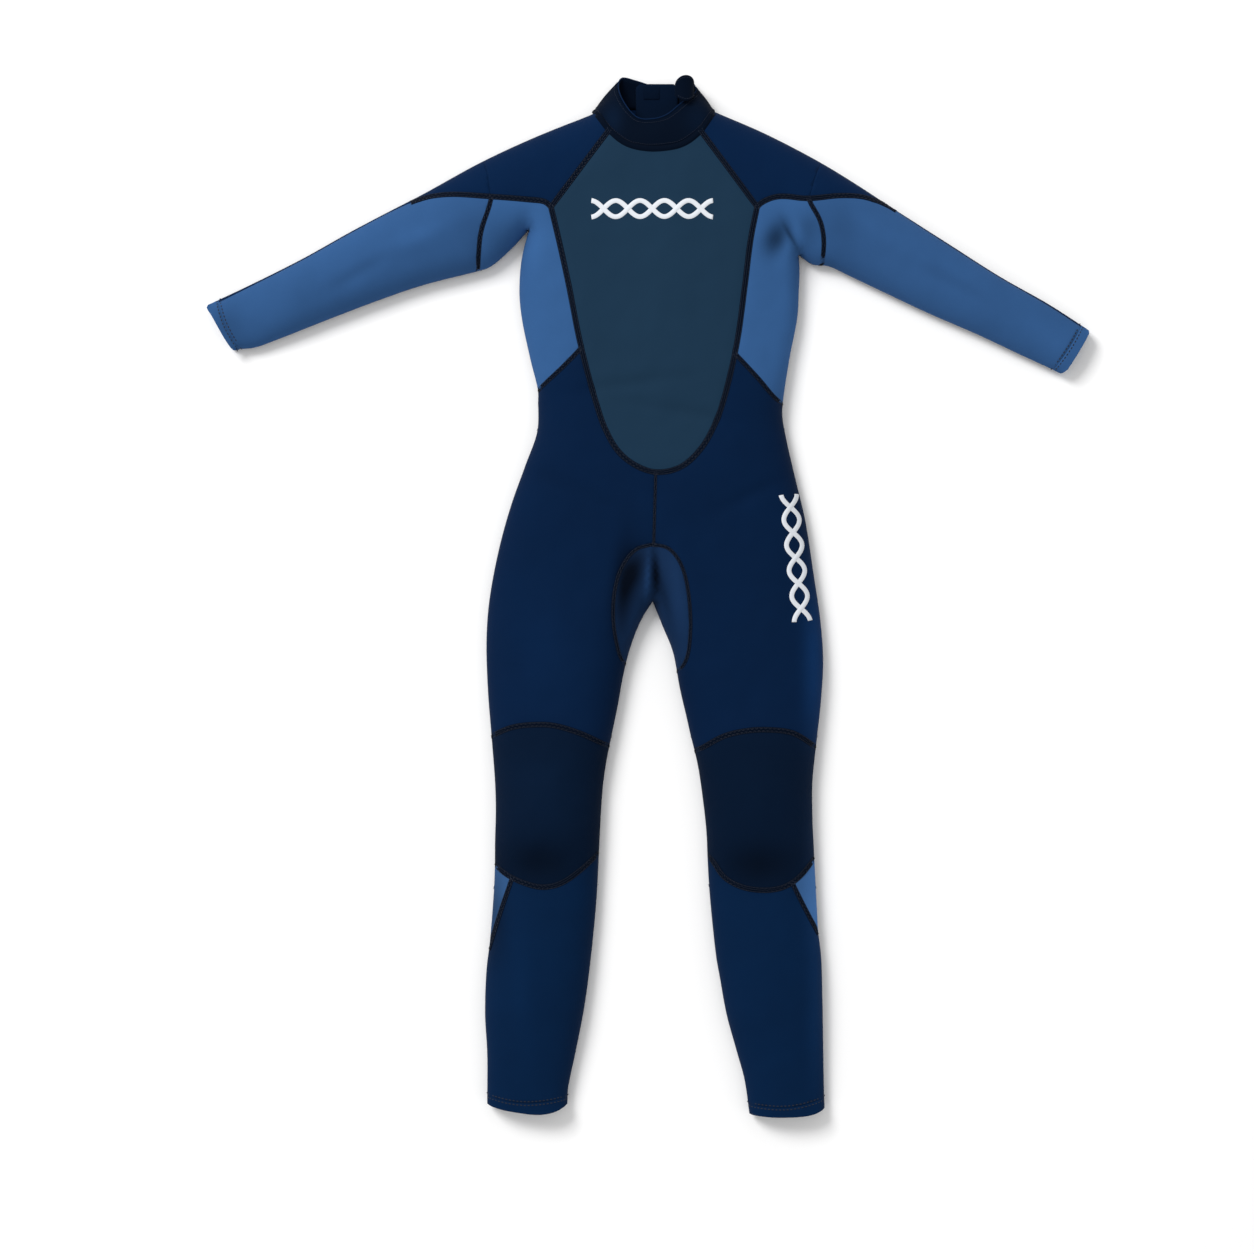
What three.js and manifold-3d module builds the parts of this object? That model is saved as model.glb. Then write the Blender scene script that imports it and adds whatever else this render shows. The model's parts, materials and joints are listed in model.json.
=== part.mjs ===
// A full wetsuit laid flat on its back: neoprene panels, zip, collar closure and printed marks.
// Units are millimetres. +X is the wearer's left, +Y points to the head and +Z up from the surface.
// The midline is x = 0 and the crotch is y = 0 until the last step centres the suit on its box.
import * as THREE from "three";
import { ParametricGeometry } from "three/addons/geometries/ParametricGeometry.js";
import { mergeVertices } from "three/addons/utils/BufferGeometryUtils.js";
import Module from "manifold-3d";

const wasm = await Module();
wasm.setup();

// ---- Overall sizes ----
const TORSO_LENGTH = 680; // crotch to the side of the neck
const LEG_LENGTH = 711; // crotch to the ankle hem, along Y
const SLEEVE_LENGTH = 447; // armhole to the cuff
const NECK_WIDTH = 168;
const COLLAR_RIM_WIDTH = 106;
const SHOULDER_WIDTH = 400;
const CHEST_WIDTH = 387;
const WAIST_WIDTH = 343;
const HIP_WIDTH = 458;
const THIGH_WIDTH = 190;
const KNEE_WIDTH = 148;
const CALF_WIDTH = 145;
const ANKLE_WIDTH = 111;
const UPPER_ARM_WIDTH = 142;
const ELBOW_WIDTH = 109;
const WRIST_WIDTH = 72;

// ---- How it lies ----
const SLEEVE_DROP = { right: 23.2, left: 28.2 }; // degrees below horizontal
const LEG_SPREAD = { hip: 129, knee: 147, ankle: 181 }; // leg centres from the midline
const WAIST_DRIFT = 10; // the waist lies a little towards the wearer's left
const TORSO_HEIGHT = 62;
const THIGH_HEIGHT = 56;
const SHIN_HEIGHT = 44;
const ANKLE_HEIGHT = 30;
const SLEEVE_HEIGHT = 46;
const WRIST_HEIGHT = 27;
const COLLAR_HEIGHT = 50;

// ---- Neoprene and seams ----
const NEOPRENE = 3;
const SEAM_GAP = 0.4; // between neighbouring panels
const FOLD_HEIGHT = 12; // where the front half ends and the back half begins
const LAP_GAP = 0.35; // between pieces that lie on one another
const EDGE_MARGIN = 1; // from the wall of an edge to the seam beside it

// ---- Panels ----
const NECK_DROP = 54; // the front neck seam's lowest point, below the side of the neck
const COLLAR_FRONT = 42; // the collar's height at the middle of the front
const COLLAR_BACK = 48; // the collar's rise above the side of the neck
const CHEST_PANEL_WIDTH = 284; // at the front end of the armhole seams
const CHEST_PANEL_LENGTH = 448; // down the midline
const ARM_SEAM_TOP = 16; // armhole to the arm seam, along the sleeve's top edge
const ARM_SEAM_LOW = 78; // and along its lower edge
const WRIST_HEM = 14;
const ANKLE_HEM = 16;
const GUSSET_WIDTH = 108;
const GUSSET_RISE = 78;
const GUSSET_FALL = 70;
const KNEE_TOP = 190; // crotch to the knee pad's top seam
const KNEE_PAD_LENGTH = 208;
const CALF_PANEL_LENGTH = 96;
const SIDE_PANEL_RISE = 100; // the side panel's lower corner, above the chest panel's lowest point
const SIDE_SEAM_RISE = 76;
const BACK_YOKE = 236; // the back's cross seam, above the crotch

// ---- Back zip and collar closure ----
const ZIP_LENGTH = 430;
const ZIP_TOP = 14; // below the side of the neck
const SLOT_WIDTH = 48; // the gap in the back that the zip closes
const TAPE_LAP = 7; // how far each tape laps its back panel
const TAPE_THICK = 1.2;
const CHAIN_WIDTH = 2.4;
const CHAIN_HEIGHT = 2;
const CHAIN_GAP = 1.6; // between the two rows, where the slider's web runs
const STOP_LENGTH = 5;
const SLIDER_LENGTH = 16;
const SLIDER_WIDTH = 10;
const SLIDER_PLATE = 0.9;
const PULL_LENGTH = 24;
const PULL_WIDTH = 7;
const PULL_THICK = 0.9;
const GUARD_WIDTH = 56;
const GUARD_OFFSET = 6; // towards the wearer's left, under the collar's opening
const TAB_LENGTH = 58;
const TAB_WIDTH = 28;
const TAB_THICK = 3;
const TAB_LEAN = 46; // degrees the open tab stands up from its closed place
const PATCH_THICK = 1.2; // hook and loop patches
const PATCH_LENGTH = 22;
const TAB_HINGE = 44; // from the midline, towards the wearer's left
const BACK_OPENING = 34; // between the collar's two back ends
const BACK_OPENING_OFFSET = 12;

// ---- Printed marks ----
const CHEST_PRINT_LENGTH = 170;
const THIGH_PRINT_LENGTH = 180;
const PRINT_BREADTH = 30;
const PRINT_THICK = 0.6;
const WAVE_STROKE = 7;
const WAVE_COUNT = 5;
const WAVE_STEPS = 30;

// ---- Finishes ----
const NAVY = { color: 0x10264a, roughness: 0.88 };
const BLUE = { color: 0x3d679d, roughness: 0.86 };
const SLATE = { color: 0x24394d, roughness: 0.8 };
const DARK = { color: 0x081a31, roughness: 0.9 };
const BLACK = { color: 0x10141a, roughness: 0.6 };
const METAL = { color: 0x9a9da1, roughness: 0.35, metalness: 0.9 };
const WHITE = { color: 0xf1f2f3, roughness: 0.5 };

const suit = new THREE.Group();
const V2 = THREE.Vector2;
const FAR = 2000;

// ---- Solids ----

/** Turns closed three.js geometry into a manifold solid. */
function solid(geometry) {
  const plain = new THREE.BufferGeometry();
  plain.setAttribute("position", geometry.getAttribute("position"));
  if (geometry.index) plain.setIndex(geometry.index);
  const merged = mergeVertices(plain, 1e-3);
  const corners = merged.index.array;
  const kept = [];
  for (let i = 0; i < corners.length; i += 3) {
    const [a, b, c] = corners.slice(i, i + 3);
    if (a !== b && b !== c && c !== a) kept.push(a, b, c);
  }
  const vertProperties = merged.attributes.position.array;
  const made = new wasm.Manifold(new wasm.Mesh({ numProp: 3, vertProperties, triVerts: new Uint32Array(kept) }));
  if (made.volume() > 0) return made;
  for (let i = 0; i < kept.length; i += 3) [kept[i + 1], kept[i + 2]] = [kept[i + 2], kept[i + 1]];
  return new wasm.Manifold(new wasm.Mesh({ numProp: 3, vertProperties, triVerts: new Uint32Array(kept) }));
}

/** Adds a manifold solid to the suit as a named mesh. */
function place(name, body, finish, group = suit) {
  const mesh = body.getMesh();
  const geometry = new THREE.BufferGeometry();
  geometry.setAttribute("position", new THREE.BufferAttribute(mesh.vertProperties, 3));
  geometry.setIndex(new THREE.BufferAttribute(mesh.triVerts, 1));
  geometry.computeVertexNormals();
  const part = new THREE.Mesh(geometry, new THREE.MeshStandardMaterial(finish));
  part.name = name;
  group.add(part);
  return part;
}

/** A box from one corner to the other. */
function block(low, high) {
  const size = high.map((value, axis) => value - low[axis]);
  const box = new THREE.BoxGeometry(...size);
  return solid(box.translate(...low.map((value, axis) => value + size[axis] / 2)));
}

/** A flat outline, extruded from z = low to z = high. */
function plate(outline, low, high) {
  const shape = new THREE.Shape(outline);
  const geometry = new THREE.ExtrudeGeometry(shape, { depth: high - low, bevelEnabled: false });
  return solid(geometry.translate(0, 0, low));
}

/** A thin upright blade along a line of points: what it cuts leaves a seam's gap. */
function blade(points, low, high, width = SEAM_GAP) {
  const sides = [[], []];
  points.forEach((point, i) => {
    const before = points[Math.max(i - 1, 0)];
    const after = points[Math.min(i + 1, points.length - 1)];
    const along = after.clone().sub(before).normalize();
    const across = new V2(-along.y, along.x).multiplyScalar(width / 2);
    sides[0].push(point.clone().add(across));
    sides[1].push(point.clone().sub(across));
  });
  return plate([...sides[0], ...sides[1].reverse()], low, high);
}

/** A smooth line through hand-set points. */
const curve = (points, steps = 10) => new THREE.SplineCurve(points).getPoints(steps);

/** Stations along a limb, read at any place by straight blending: [along, centre, width, height]. */
function reading(stations, along) {
  let i = 1;
  while (i < stations.length - 1 && stations[i][0] < along) i += 1;
  const [from, to] = [stations[i - 1], stations[i]];
  const share = (along - from[0]) / (to[0] - from[0]);
  return from.map((value, k) => value + (to[k] - value) * share);
}

/** A flattened tube through the stations; inset shrinks it on every side and runs it past its ends. */
function flatTube(stations, inset, reach, sides = 16) {
  const rings = stations.map((station) => [...station]);
  rings[0][0] -= reach[0];
  rings[rings.length - 1][0] += reach[1];
  const ROUNDING = 0.62; // below 1 the section is squarer than an ellipse
  const ring = (angle, [along, centre, width, height], full) => {
    const [c, s] = [Math.cos(angle), Math.sin(angle)];
    const half = (width / 2 - inset) * full;
    const rise = (height / 2 - inset) * full;
    const x = centre + half * Math.sign(c) * Math.abs(c) ** ROUNDING;
    const z = height / 2 + rise * Math.sign(s) * Math.abs(s) ** ROUNDING;
    return [x, along, Math.max(z, inset + 0.06 * height)];
  };
  const last = rings.length - 1;
  const surface = (u, v, target) => {
    const step = Math.round(v * (last + 2)) - 1;
    const at = Math.min(Math.max(step, 0), last);
    const closed = step < 0 || step > last;
    const [x, y, z] = ring(2 * Math.PI * u, rings[at], closed ? 0 : 1);
    const drop = 0.06 * rings[at][3];
    target.set(x, y, (closed ? rings[at][3] / 2 : z) - drop);
  };
  return new ParametricGeometry(surface, sides, last + 2);
}

// ---- The suit's limbs, as stations [along, centre, width, height] ----
const ARMHOLE_Y = TORSO_LENGTH - 123;
const torsoStations = [
  [-10, 0, HIP_WIDTH - 6, THIGH_HEIGHT],
  [TORSO_LENGTH * 0.1, 1, HIP_WIDTH - 22, THIGH_HEIGHT + 2],
  [TORSO_LENGTH * 0.2, 4, (HIP_WIDTH + WAIST_WIDTH) / 2 + 4, TORSO_HEIGHT - 2],
  [TORSO_LENGTH * 0.3, WAIST_DRIFT * 0.7, WAIST_WIDTH + 12, TORSO_HEIGHT],
  [TORSO_LENGTH * 0.4, WAIST_DRIFT, WAIST_WIDTH, TORSO_HEIGHT],
  [TORSO_LENGTH * 0.5, WAIST_DRIFT, (WAIST_WIDTH + CHEST_WIDTH) / 2, TORSO_HEIGHT],
  [TORSO_LENGTH * 0.6, WAIST_DRIFT, CHEST_WIDTH, TORSO_HEIGHT],
  [ARMHOLE_Y - 80, WAIST_DRIFT, CHEST_WIDTH, TORSO_HEIGHT],
  [ARMHOLE_Y, 0, SHOULDER_WIDTH, TORSO_HEIGHT],
  [TORSO_LENGTH - 62, 0, SHOULDER_WIDTH, TORSO_HEIGHT - 4],
  [TORSO_LENGTH - 32, 0, (SHOULDER_WIDTH + NECK_WIDTH) / 2 + 26, TORSO_HEIGHT - 6],
  [TORSO_LENGTH - 6, 0, NECK_WIDTH + 6, COLLAR_HEIGHT + 4],
];
const collarStations = [
  [TORSO_LENGTH - 90, 0, NECK_WIDTH + 10, COLLAR_HEIGHT + 4],
  [TORSO_LENGTH, 0, NECK_WIDTH, COLLAR_HEIGHT + 2],
  [TORSO_LENGTH + COLLAR_BACK * 0.5, 0, (NECK_WIDTH + COLLAR_RIM_WIDTH) / 2 - 4, COLLAR_HEIGHT],
  [TORSO_LENGTH + COLLAR_BACK, 4, COLLAR_RIM_WIDTH, COLLAR_HEIGHT - 4],
];
const legStations = [
  [-100, LEG_SPREAD.hip - 25, THIGH_WIDTH, THIGH_HEIGHT],
  [0, LEG_SPREAD.hip - 11, THIGH_WIDTH + 32, THIGH_HEIGHT],
  [LEG_LENGTH * 0.076, LEG_SPREAD.hip, THIGH_WIDTH + 19, THIGH_HEIGHT],
  [LEG_LENGTH * 0.176, LEG_SPREAD.hip + 8, THIGH_WIDTH, THIGH_HEIGHT - 2],
  [LEG_LENGTH * 0.273, LEG_SPREAD.hip + 13, (THIGH_WIDTH + KNEE_WIDTH) / 2, THIGH_HEIGHT - 5],
  [LEG_LENGTH * 0.411, LEG_SPREAD.knee, KNEE_WIDTH, SHIN_HEIGHT + 3],
  [LEG_LENGTH * 0.552, LEG_SPREAD.knee + 4, CALF_WIDTH, SHIN_HEIGHT],
  [LEG_LENGTH * 0.754, LEG_SPREAD.knee + 17, CALF_WIDTH - 3, SHIN_HEIGHT - 3],
  [LEG_LENGTH * 0.894, LEG_SPREAD.ankle - 7, (CALF_WIDTH + ANKLE_WIDTH) / 2 - 5, ANKLE_HEIGHT + 5],
  [LEG_LENGTH, LEG_SPREAD.ankle, ANKLE_WIDTH, ANKLE_HEIGHT],
];
const sleeveStations = [
  [-110, 0, UPPER_ARM_WIDTH - 18, TORSO_HEIGHT - 12],
  [SLEEVE_LENGTH * 0.06, 0, UPPER_ARM_WIDTH, SLEEVE_HEIGHT + 4],
  [SLEEVE_LENGTH * 0.18, 0, UPPER_ARM_WIDTH - 12, SLEEVE_HEIGHT],
  [SLEEVE_LENGTH * 0.38, 0, ELBOW_WIDTH + 3, SLEEVE_HEIGHT - 4],
  [SLEEVE_LENGTH * 0.7, 0, (ELBOW_WIDTH + WRIST_WIDTH) / 2, (SLEEVE_HEIGHT + WRIST_HEIGHT) / 2],
  [SLEEVE_LENGTH, 0, WRIST_WIDTH, WRIST_HEIGHT],
];

const SIDES = { right: -1, left: 1 };
const sleeveTurn = (side) => {
  const drop = THREE.MathUtils.degToRad(SLEEVE_DROP[side]);
  return SIDES[side] < 0 ? Math.PI / 2 + drop : -Math.PI / 2 - drop;
};

/** A point of a sleeve: distance from the armhole, and a share of the half width (+1 is the top edge). */
function onSleeve(side, along, share) {
  const width = reading(sleeveStations, along)[2];
  const flip = SIDES[side];
  const local = new V2(-flip * share * width / 2, along).rotateAround(new V2(), sleeveTurn(side));
  return local.add(new V2(flip * SHOULDER_WIDTH / 2, ARMHOLE_Y));
}

/** A point of a leg: distance below the crotch, and a share of the half width (+1 is the outer edge). */
function onLeg(side, along, share) {
  const [, centre, width] = reading(legStations, along);
  return new V2(SIDES[side] * (centre + share * width / 2), -along);
}

/** A point of the torso: height above the crotch, and a share of the half width (+1 is that side's edge). */
function onTorso(side, height, share) {
  const [, centre, width] = reading(torsoStations, height);
  return new V2(centre + SIDES[side] * share * width / 2, height);
}

/** Every limb joined to one body, shrunk by the inset. */
function body(inset) {
  const open = inset > 0 ? 60 : 0;
  let joined = solid(flatTube(torsoStations, inset, [-inset, -inset], 20));
  joined = joined.add(solid(flatTube(collarStations, inset, [0, open])));
  for (const side of Object.keys(SIDES)) {
    const leg = flatTube(legStations.map(([along, centre, width, height]) => [along, 0, width, height]), inset, [0, open]);
    const bend = leg.getAttribute("position");
    for (let i = 0; i < bend.count; i += 1) {
      const along = bend.getY(i);
      const centre = reading(legStations, Math.min(along, LEG_LENGTH))[1];
      bend.setXYZ(i, SIDES[side] * centre - bend.getX(i), -along, bend.getZ(i));
    }
    joined = joined.add(solid(leg));
    const sleeve = flatTube(sleeveStations, inset, [0, open]);
    sleeve.rotateZ(sleeveTurn(side));
    sleeve.translate(SIDES[side] * SHOULDER_WIDTH / 2, ARMHOLE_Y, 0);
    joined = joined.add(solid(sleeve));
  }
  return joined;
}

// ---- Seam lines ----
const NECK_HALF = NECK_WIDTH / 2;
const CHEST_HALF = CHEST_PANEL_WIDTH / 2;
const CHEST_TOP = ARMHOLE_Y - 10;
const CHEST_BOTTOM = TORSO_LENGTH - NECK_DROP - CHEST_PANEL_LENGTH;
const SIDE_PANEL_LOW = CHEST_BOTTOM + SIDE_PANEL_RISE;
const SHIN_TOP = KNEE_TOP + KNEE_PAD_LENGTH;
const ZIP_BOTTOM = TORSO_LENGTH - ZIP_TOP - ZIP_LENGTH;
const COLLAR_TOP = TORSO_LENGTH + COLLAR_BACK;
const top = (distance) => new V2(0, distance);

const neckSeam = curve([
  new V2(-NECK_HALF - 30, TORSO_LENGTH + 30),
  new V2(-NECK_HALF + 2, TORSO_LENGTH - 5),
  new V2(-NECK_HALF * 0.55, TORSO_LENGTH - NECK_DROP * 0.78),
  top(TORSO_LENGTH - NECK_DROP),
  new V2(NECK_HALF * 0.55, TORSO_LENGTH - NECK_DROP * 0.78),
  new V2(NECK_HALF - 2, TORSO_LENGTH - 5),
  new V2(NECK_HALF + 30, TORSO_LENGTH + 30),
], 18);
const chestSide = (flip) => [
  new V2(flip * CHEST_HALF, CHEST_TOP),
  new V2(flip * CHEST_HALF * 0.84, THREE.MathUtils.lerp(CHEST_TOP, CHEST_BOTTOM, 0.3)),
  new V2(flip * CHEST_HALF * 0.68, THREE.MathUtils.lerp(CHEST_TOP, CHEST_BOTTOM, 0.66)),
  new V2(flip * CHEST_HALF * 0.46, THREE.MathUtils.lerp(CHEST_TOP, CHEST_BOTTOM, 0.9)),
];
const chestSeam = curve([...chestSide(-1), new V2(3, CHEST_BOTTOM), ...chestSide(1).reverse()], 24);
const gussetSide = (flip) => [
  new V2(flip * (GUSSET_WIDTH / 2 - 5), -GUSSET_FALL - 8),
  new V2(flip * GUSSET_WIDTH / 2, -10),
  new V2(flip * GUSSET_WIDTH * 0.36, GUSSET_RISE * 0.66),
];
const gussetSeam = curve([...gussetSide(-1), top(GUSSET_RISE), ...gussetSide(1).reverse()], 14);
const gussetApex = (flip) => new V2(flip * 10, -GUSSET_FALL / 2);
const gussetEnd = (flip) => [gussetApex(flip), gussetApex(flip).lerp(gussetSide(flip)[0], 1.03)];
const collarRim = curve([
  new V2(-COLLAR_RIM_WIDTH / 2 - 14, COLLAR_TOP + 8),
  new V2(-COLLAR_RIM_WIDTH / 2 + 12, COLLAR_TOP - 26),
  new V2(-COLLAR_RIM_WIDTH * 0.2, TORSO_LENGTH - NECK_DROP + COLLAR_FRONT + 4),
  new V2(COLLAR_RIM_WIDTH * 0.12, TORSO_LENGTH - NECK_DROP + COLLAR_FRONT),
  new V2(COLLAR_RIM_WIDTH * 0.4, COLLAR_TOP - 36),
  new V2(COLLAR_RIM_WIDTH / 2 + 14, COLLAR_TOP - 10),
], 12);

/** The straight line that a sleeve's seam and its fold share. */
const armSeam = (side) => [onSleeve(side, ARM_SEAM_TOP, 1.6), onSleeve(side, ARM_SEAM_LOW, -1.6)];
const acrossSleeve = (side, along) => [onSleeve(side, along, 1.8), onSleeve(side, along, -1.8)];
const acrossLeg = (side, along) => [onLeg(side, along, 1.35), onLeg(side, along, -1.35)];

/** A point just inside a sleeve's top edge, where an upright cut misses the wall of the edge. */
function besideTopEdge(side, along) {
  const width = reading(sleeveStations, along)[2];
  return onSleeve(side, along, 1 - (2 * (NEOPRENE + EDGE_MARGIN)) / width);
}

/** The seams that cut only the front layer, for one side. */
function frontSeams(side) {
  const flip = SIDES[side];
  const chestCorner = new V2(flip * CHEST_HALF, CHEST_TOP);
  const sideLow = onTorso(side, SIDE_PANEL_LOW, 1.15);
  return [
    [new V2(flip * NECK_HALF * 0.66, TORSO_LENGTH - 20), chestCorner, new V2(flip * CHEST_HALF, CHEST_TOP - 4)],
    [
      chestCorner.clone().add(new V2(-flip * 2, -3)),
      new V2(flip * (CHEST_HALF + 10), CHEST_TOP + 9),
      onSleeve(side, ARM_SEAM_TOP, 0.1),
      ...curve([
        onSleeve(side, SLEEVE_LENGTH * 0.16, 0.42),
        onSleeve(side, SLEEVE_LENGTH * 0.34, 0.84),
        besideTopEdge(side, SLEEVE_LENGTH * 0.6),
        besideTopEdge(side, SLEEVE_LENGTH - WRIST_HEM),
      ], 6),
    ],
    curve([
      onLeg(side, KNEE_TOP + 14, -1.25),
      onLeg(side, KNEE_TOP - 6, -0.45),
      onLeg(side, KNEE_TOP - 6, 0.45),
      onLeg(side, KNEE_TOP + 14, 1.25),
    ], 8),
    [onLeg(side, SHIN_TOP - 1, 0.62), onLeg(side, SHIN_TOP + CALF_PANEL_LENGTH, 1.2)],
    [new V2(flip * CHEST_HALF * 0.7, SIDE_PANEL_LOW + SIDE_SEAM_RISE), sideLow],
  ];
}

/** The seams that cut only the back layer, for one side. */
function backSeams(side) {
  const flip = SIDES[side];
  return [
    [onLeg(side, KNEE_TOP, -1.25), onLeg(side, KNEE_TOP, 1.25)],
    [new V2(-flip * 3, BACK_YOKE - 26), onTorso(side, BACK_YOKE, 0.5), onTorso(side, BACK_YOKE + 6, 1.2)],
    [
      new V2(flip * NECK_HALF * 0.62, TORSO_LENGTH + 8),
      new V2(flip * (CHEST_HALF + 4), ARMHOLE_Y - 8),
      onSleeve(side, ARM_SEAM_LOW * 0.6, -0.6),
      onSleeve(side, ARM_SEAM_LOW, -1.3),
    ],
  ];
}

// ---- Cutting the shell into panels ----
const CUT_LOW = -5;
const CUT_HIGH = TORSO_HEIGHT + 20;
const cuts = [
  blade(neckSeam, FOLD_HEIGHT, CUT_HIGH),
  blade([new V2(-NECK_HALF - 30, TORSO_LENGTH + 4), new V2(NECK_HALF + 30, TORSO_LENGTH + 4)], CUT_LOW, FOLD_HEIGHT),
  blade(chestSeam, FOLD_HEIGHT, CUT_HIGH),
  blade(gussetSeam, CUT_LOW, CUT_HIGH),
  blade(gussetEnd(-1), CUT_LOW, CUT_HIGH),
  blade(gussetEnd(1), CUT_LOW, CUT_HIGH),
  blade([top(GUSSET_RISE - 1), new V2(3, CHEST_BOTTOM + 1)], FOLD_HEIGHT, CUT_HIGH),
  blade([top(GUSSET_RISE - 1), top(ZIP_BOTTOM - 7)], CUT_LOW, FOLD_HEIGHT),
];
for (const side of Object.keys(SIDES)) {
  for (const line of frontSeams(side)) cuts.push(blade(line, FOLD_HEIGHT, CUT_HIGH));
  for (const line of backSeams(side)) cuts.push(blade(line, CUT_LOW, FOLD_HEIGHT));
  cuts.push(blade(armSeam(side), CUT_LOW, CUT_HIGH));
  cuts.push(blade(acrossSleeve(side, SLEEVE_LENGTH - WRIST_HEM), CUT_LOW, CUT_HIGH));
  cuts.push(blade(acrossLeg(side, SHIN_TOP), CUT_LOW, CUT_HIGH));
  cuts.push(blade(acrossLeg(side, LEG_LENGTH - ANKLE_HEM), CUT_LOW, CUT_HIGH));
}

/** The level slit that parts the front layer from the back one, except where a panel wraps an edge. */
function foldSlit() {
  let slit = block([-FAR, -FAR, FOLD_HEIGHT - SEAM_GAP / 2], [FAR, TORSO_LENGTH - 12, FOLD_HEIGHT + SEAM_GAP / 2]);
  const wraps = [[gussetEnd(-1)[0], ...gussetSeam, gussetEnd(1)[0]]];
  for (const side of Object.keys(SIDES)) {
    wraps.push([
      ...acrossSleeve(side, SLEEVE_LENGTH - WRIST_HEM),
      onSleeve(side, SLEEVE_LENGTH + 40, -1.8),
      onSleeve(side, SLEEVE_LENGTH + 40, 1.8),
    ]);
    wraps.push([
      ...acrossLeg(side, LEG_LENGTH - ANKLE_HEM),
      onLeg(side, LEG_LENGTH + 40, -1.35),
      onLeg(side, LEG_LENGTH + 40, 1.35),
    ]);
    wraps.push([
      new V2(0, TORSO_LENGTH + 20),
      new V2(0, TORSO_LENGTH - 60),
      onSleeve(side, 0, 0.3),
      onSleeve(side, SLEEVE_LENGTH, 0.3),
      onSleeve(side, SLEEVE_LENGTH, 2.2),
      onSleeve(side, 0, 2.2),
    ]);
  }
  for (const outline of wraps) slit = slit.subtract(plate(outline, 0, FOLD_HEIGHT * 2));
  // The neck seam steps from front to back on this ledge at each side.
  const ledge = block(
    [-NECK_HALF - 40, TORSO_LENGTH - 12, FOLD_HEIGHT - SEAM_GAP / 2],
    [NECK_HALF + 40, TORSO_LENGTH + 4 + SEAM_GAP / 2, FOLD_HEIGHT + SEAM_GAP / 2],
  );
  return slit.add(ledge);
}

/** The biggest loose piece of a solid. */
const largest = (body) => body.decompose().reduce((best, next) => (next.volume() > best.volume() ? next : best));

/** Removes from a solid everything that the others fill. */
const without = (body, others) => others.reduce((left, other) => left.subtract(other), body);

let shell = body(0).subtract(body(NEOPRENE));
const rimOutline = [...collarRim, new V2(COLLAR_RIM_WIDTH, COLLAR_TOP + 60), new V2(-COLLAR_RIM_WIDTH, COLLAR_TOP + 60)];
const OPENING_LOW = BACK_OPENING_OFFSET - BACK_OPENING / 2;
const OPENING_HIGH = BACK_OPENING_OFFSET + BACK_OPENING / 2;
shell = without(shell, [
  plate(rimOutline, FOLD_HEIGHT, CUT_HIGH),
  block([-SLOT_WIDTH / 2, ZIP_BOTTOM - 8, -5], [SLOT_WIDTH / 2, TORSO_LENGTH + 4, FOLD_HEIGHT]),
  block([OPENING_LOW, TORSO_LENGTH, -5], [OPENING_HIGH, COLLAR_TOP + 5, FOLD_HEIGHT + 4]),
  ...cuts,
  foldSlit(),
]);
const pieces = shell.decompose();

// Each panel is the loose piece found at a place on it: [name, place, layer, finish].
const FRONT = "front";
const BACK = "back";
const panels = [
  ["chest_panel", top((CHEST_TOP + CHEST_BOTTOM) / 2), FRONT, SLATE],
  ["crotch_gusset", top(GUSSET_RISE / 2), FRONT, DARK],
  ["collar_band", top(TORSO_LENGTH - NECK_DROP + COLLAR_FRONT / 2), FRONT, DARK],
];
for (const side of Object.keys(SIDES)) {
  const flip = SIDES[side];
  const MID_ARM = SLEEVE_LENGTH * 0.55;
  panels.push(
    [side + "_shoulder_panel", new V2(flip * CHEST_HALF, ARMHOLE_Y + 30), FRONT, NAVY],
    [side + "_side_panel", onTorso(side, SIDE_PANEL_LOW + 110, 0.88), FRONT, BLUE],
    [side + "_sleeve_front", onSleeve(side, MID_ARM, 0), FRONT, BLUE],
    [side + "_sleeve_back", onSleeve(side, MID_ARM, 0), BACK, NAVY],
    [side + "_wrist_hem", onSleeve(side, SLEEVE_LENGTH - WRIST_HEM / 2, 0), FRONT, BLUE],
    [side + "_hip_panel", onTorso(side, GUSSET_RISE + 40, 0.5), FRONT, NAVY],
    [side + "_knee_pad", onLeg(side, KNEE_TOP + KNEE_PAD_LENGTH / 2, 0), FRONT, DARK],
    [side + "_knee_back", onLeg(side, KNEE_TOP + KNEE_PAD_LENGTH / 2, 0), BACK, NAVY],
    [side + "_calf_panel", onLeg(side, SHIN_TOP + CALF_PANEL_LENGTH * 0.3, 0.9), FRONT, BLUE],
    [side + "_shin_panel", onLeg(side, (SHIN_TOP + LEG_LENGTH) / 2, 0), FRONT, NAVY],
    [side + "_calf_back", onLeg(side, (SHIN_TOP + LEG_LENGTH) / 2, 0), BACK, NAVY],
    [side + "_ankle_hem", onLeg(side, LEG_LENGTH - ANKLE_HEM / 2, 0), FRONT, NAVY],
    [side + "_upper_back", onTorso(side, BACK_YOKE + 120, 0.5), BACK, NAVY],
    [side + "_seat_panel", onTorso(side, GUSSET_RISE + 40, 0.5), BACK, NAVY],
  );
}

/** The loose piece that covers a place in the front or the back layer. */
function pieceAt(point, layer) {
  const found = [];
  const PROBE = 4;
  for (const piece of pieces) {
    const probe = piece.intersect(block(
      [point.x - PROBE, point.y - PROBE, layer === FRONT ? FOLD_HEIGHT : CUT_LOW],
      [point.x + PROBE, point.y + PROBE, layer === FRONT ? CUT_HIGH : FOLD_HEIGHT],
    ));
    found.push(probe.volume());
  }
  return pieces[found.indexOf(Math.max(...found))];
}
for (const [name, point, layer, finish] of panels) place(name, pieceAt(point, layer), finish);

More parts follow.
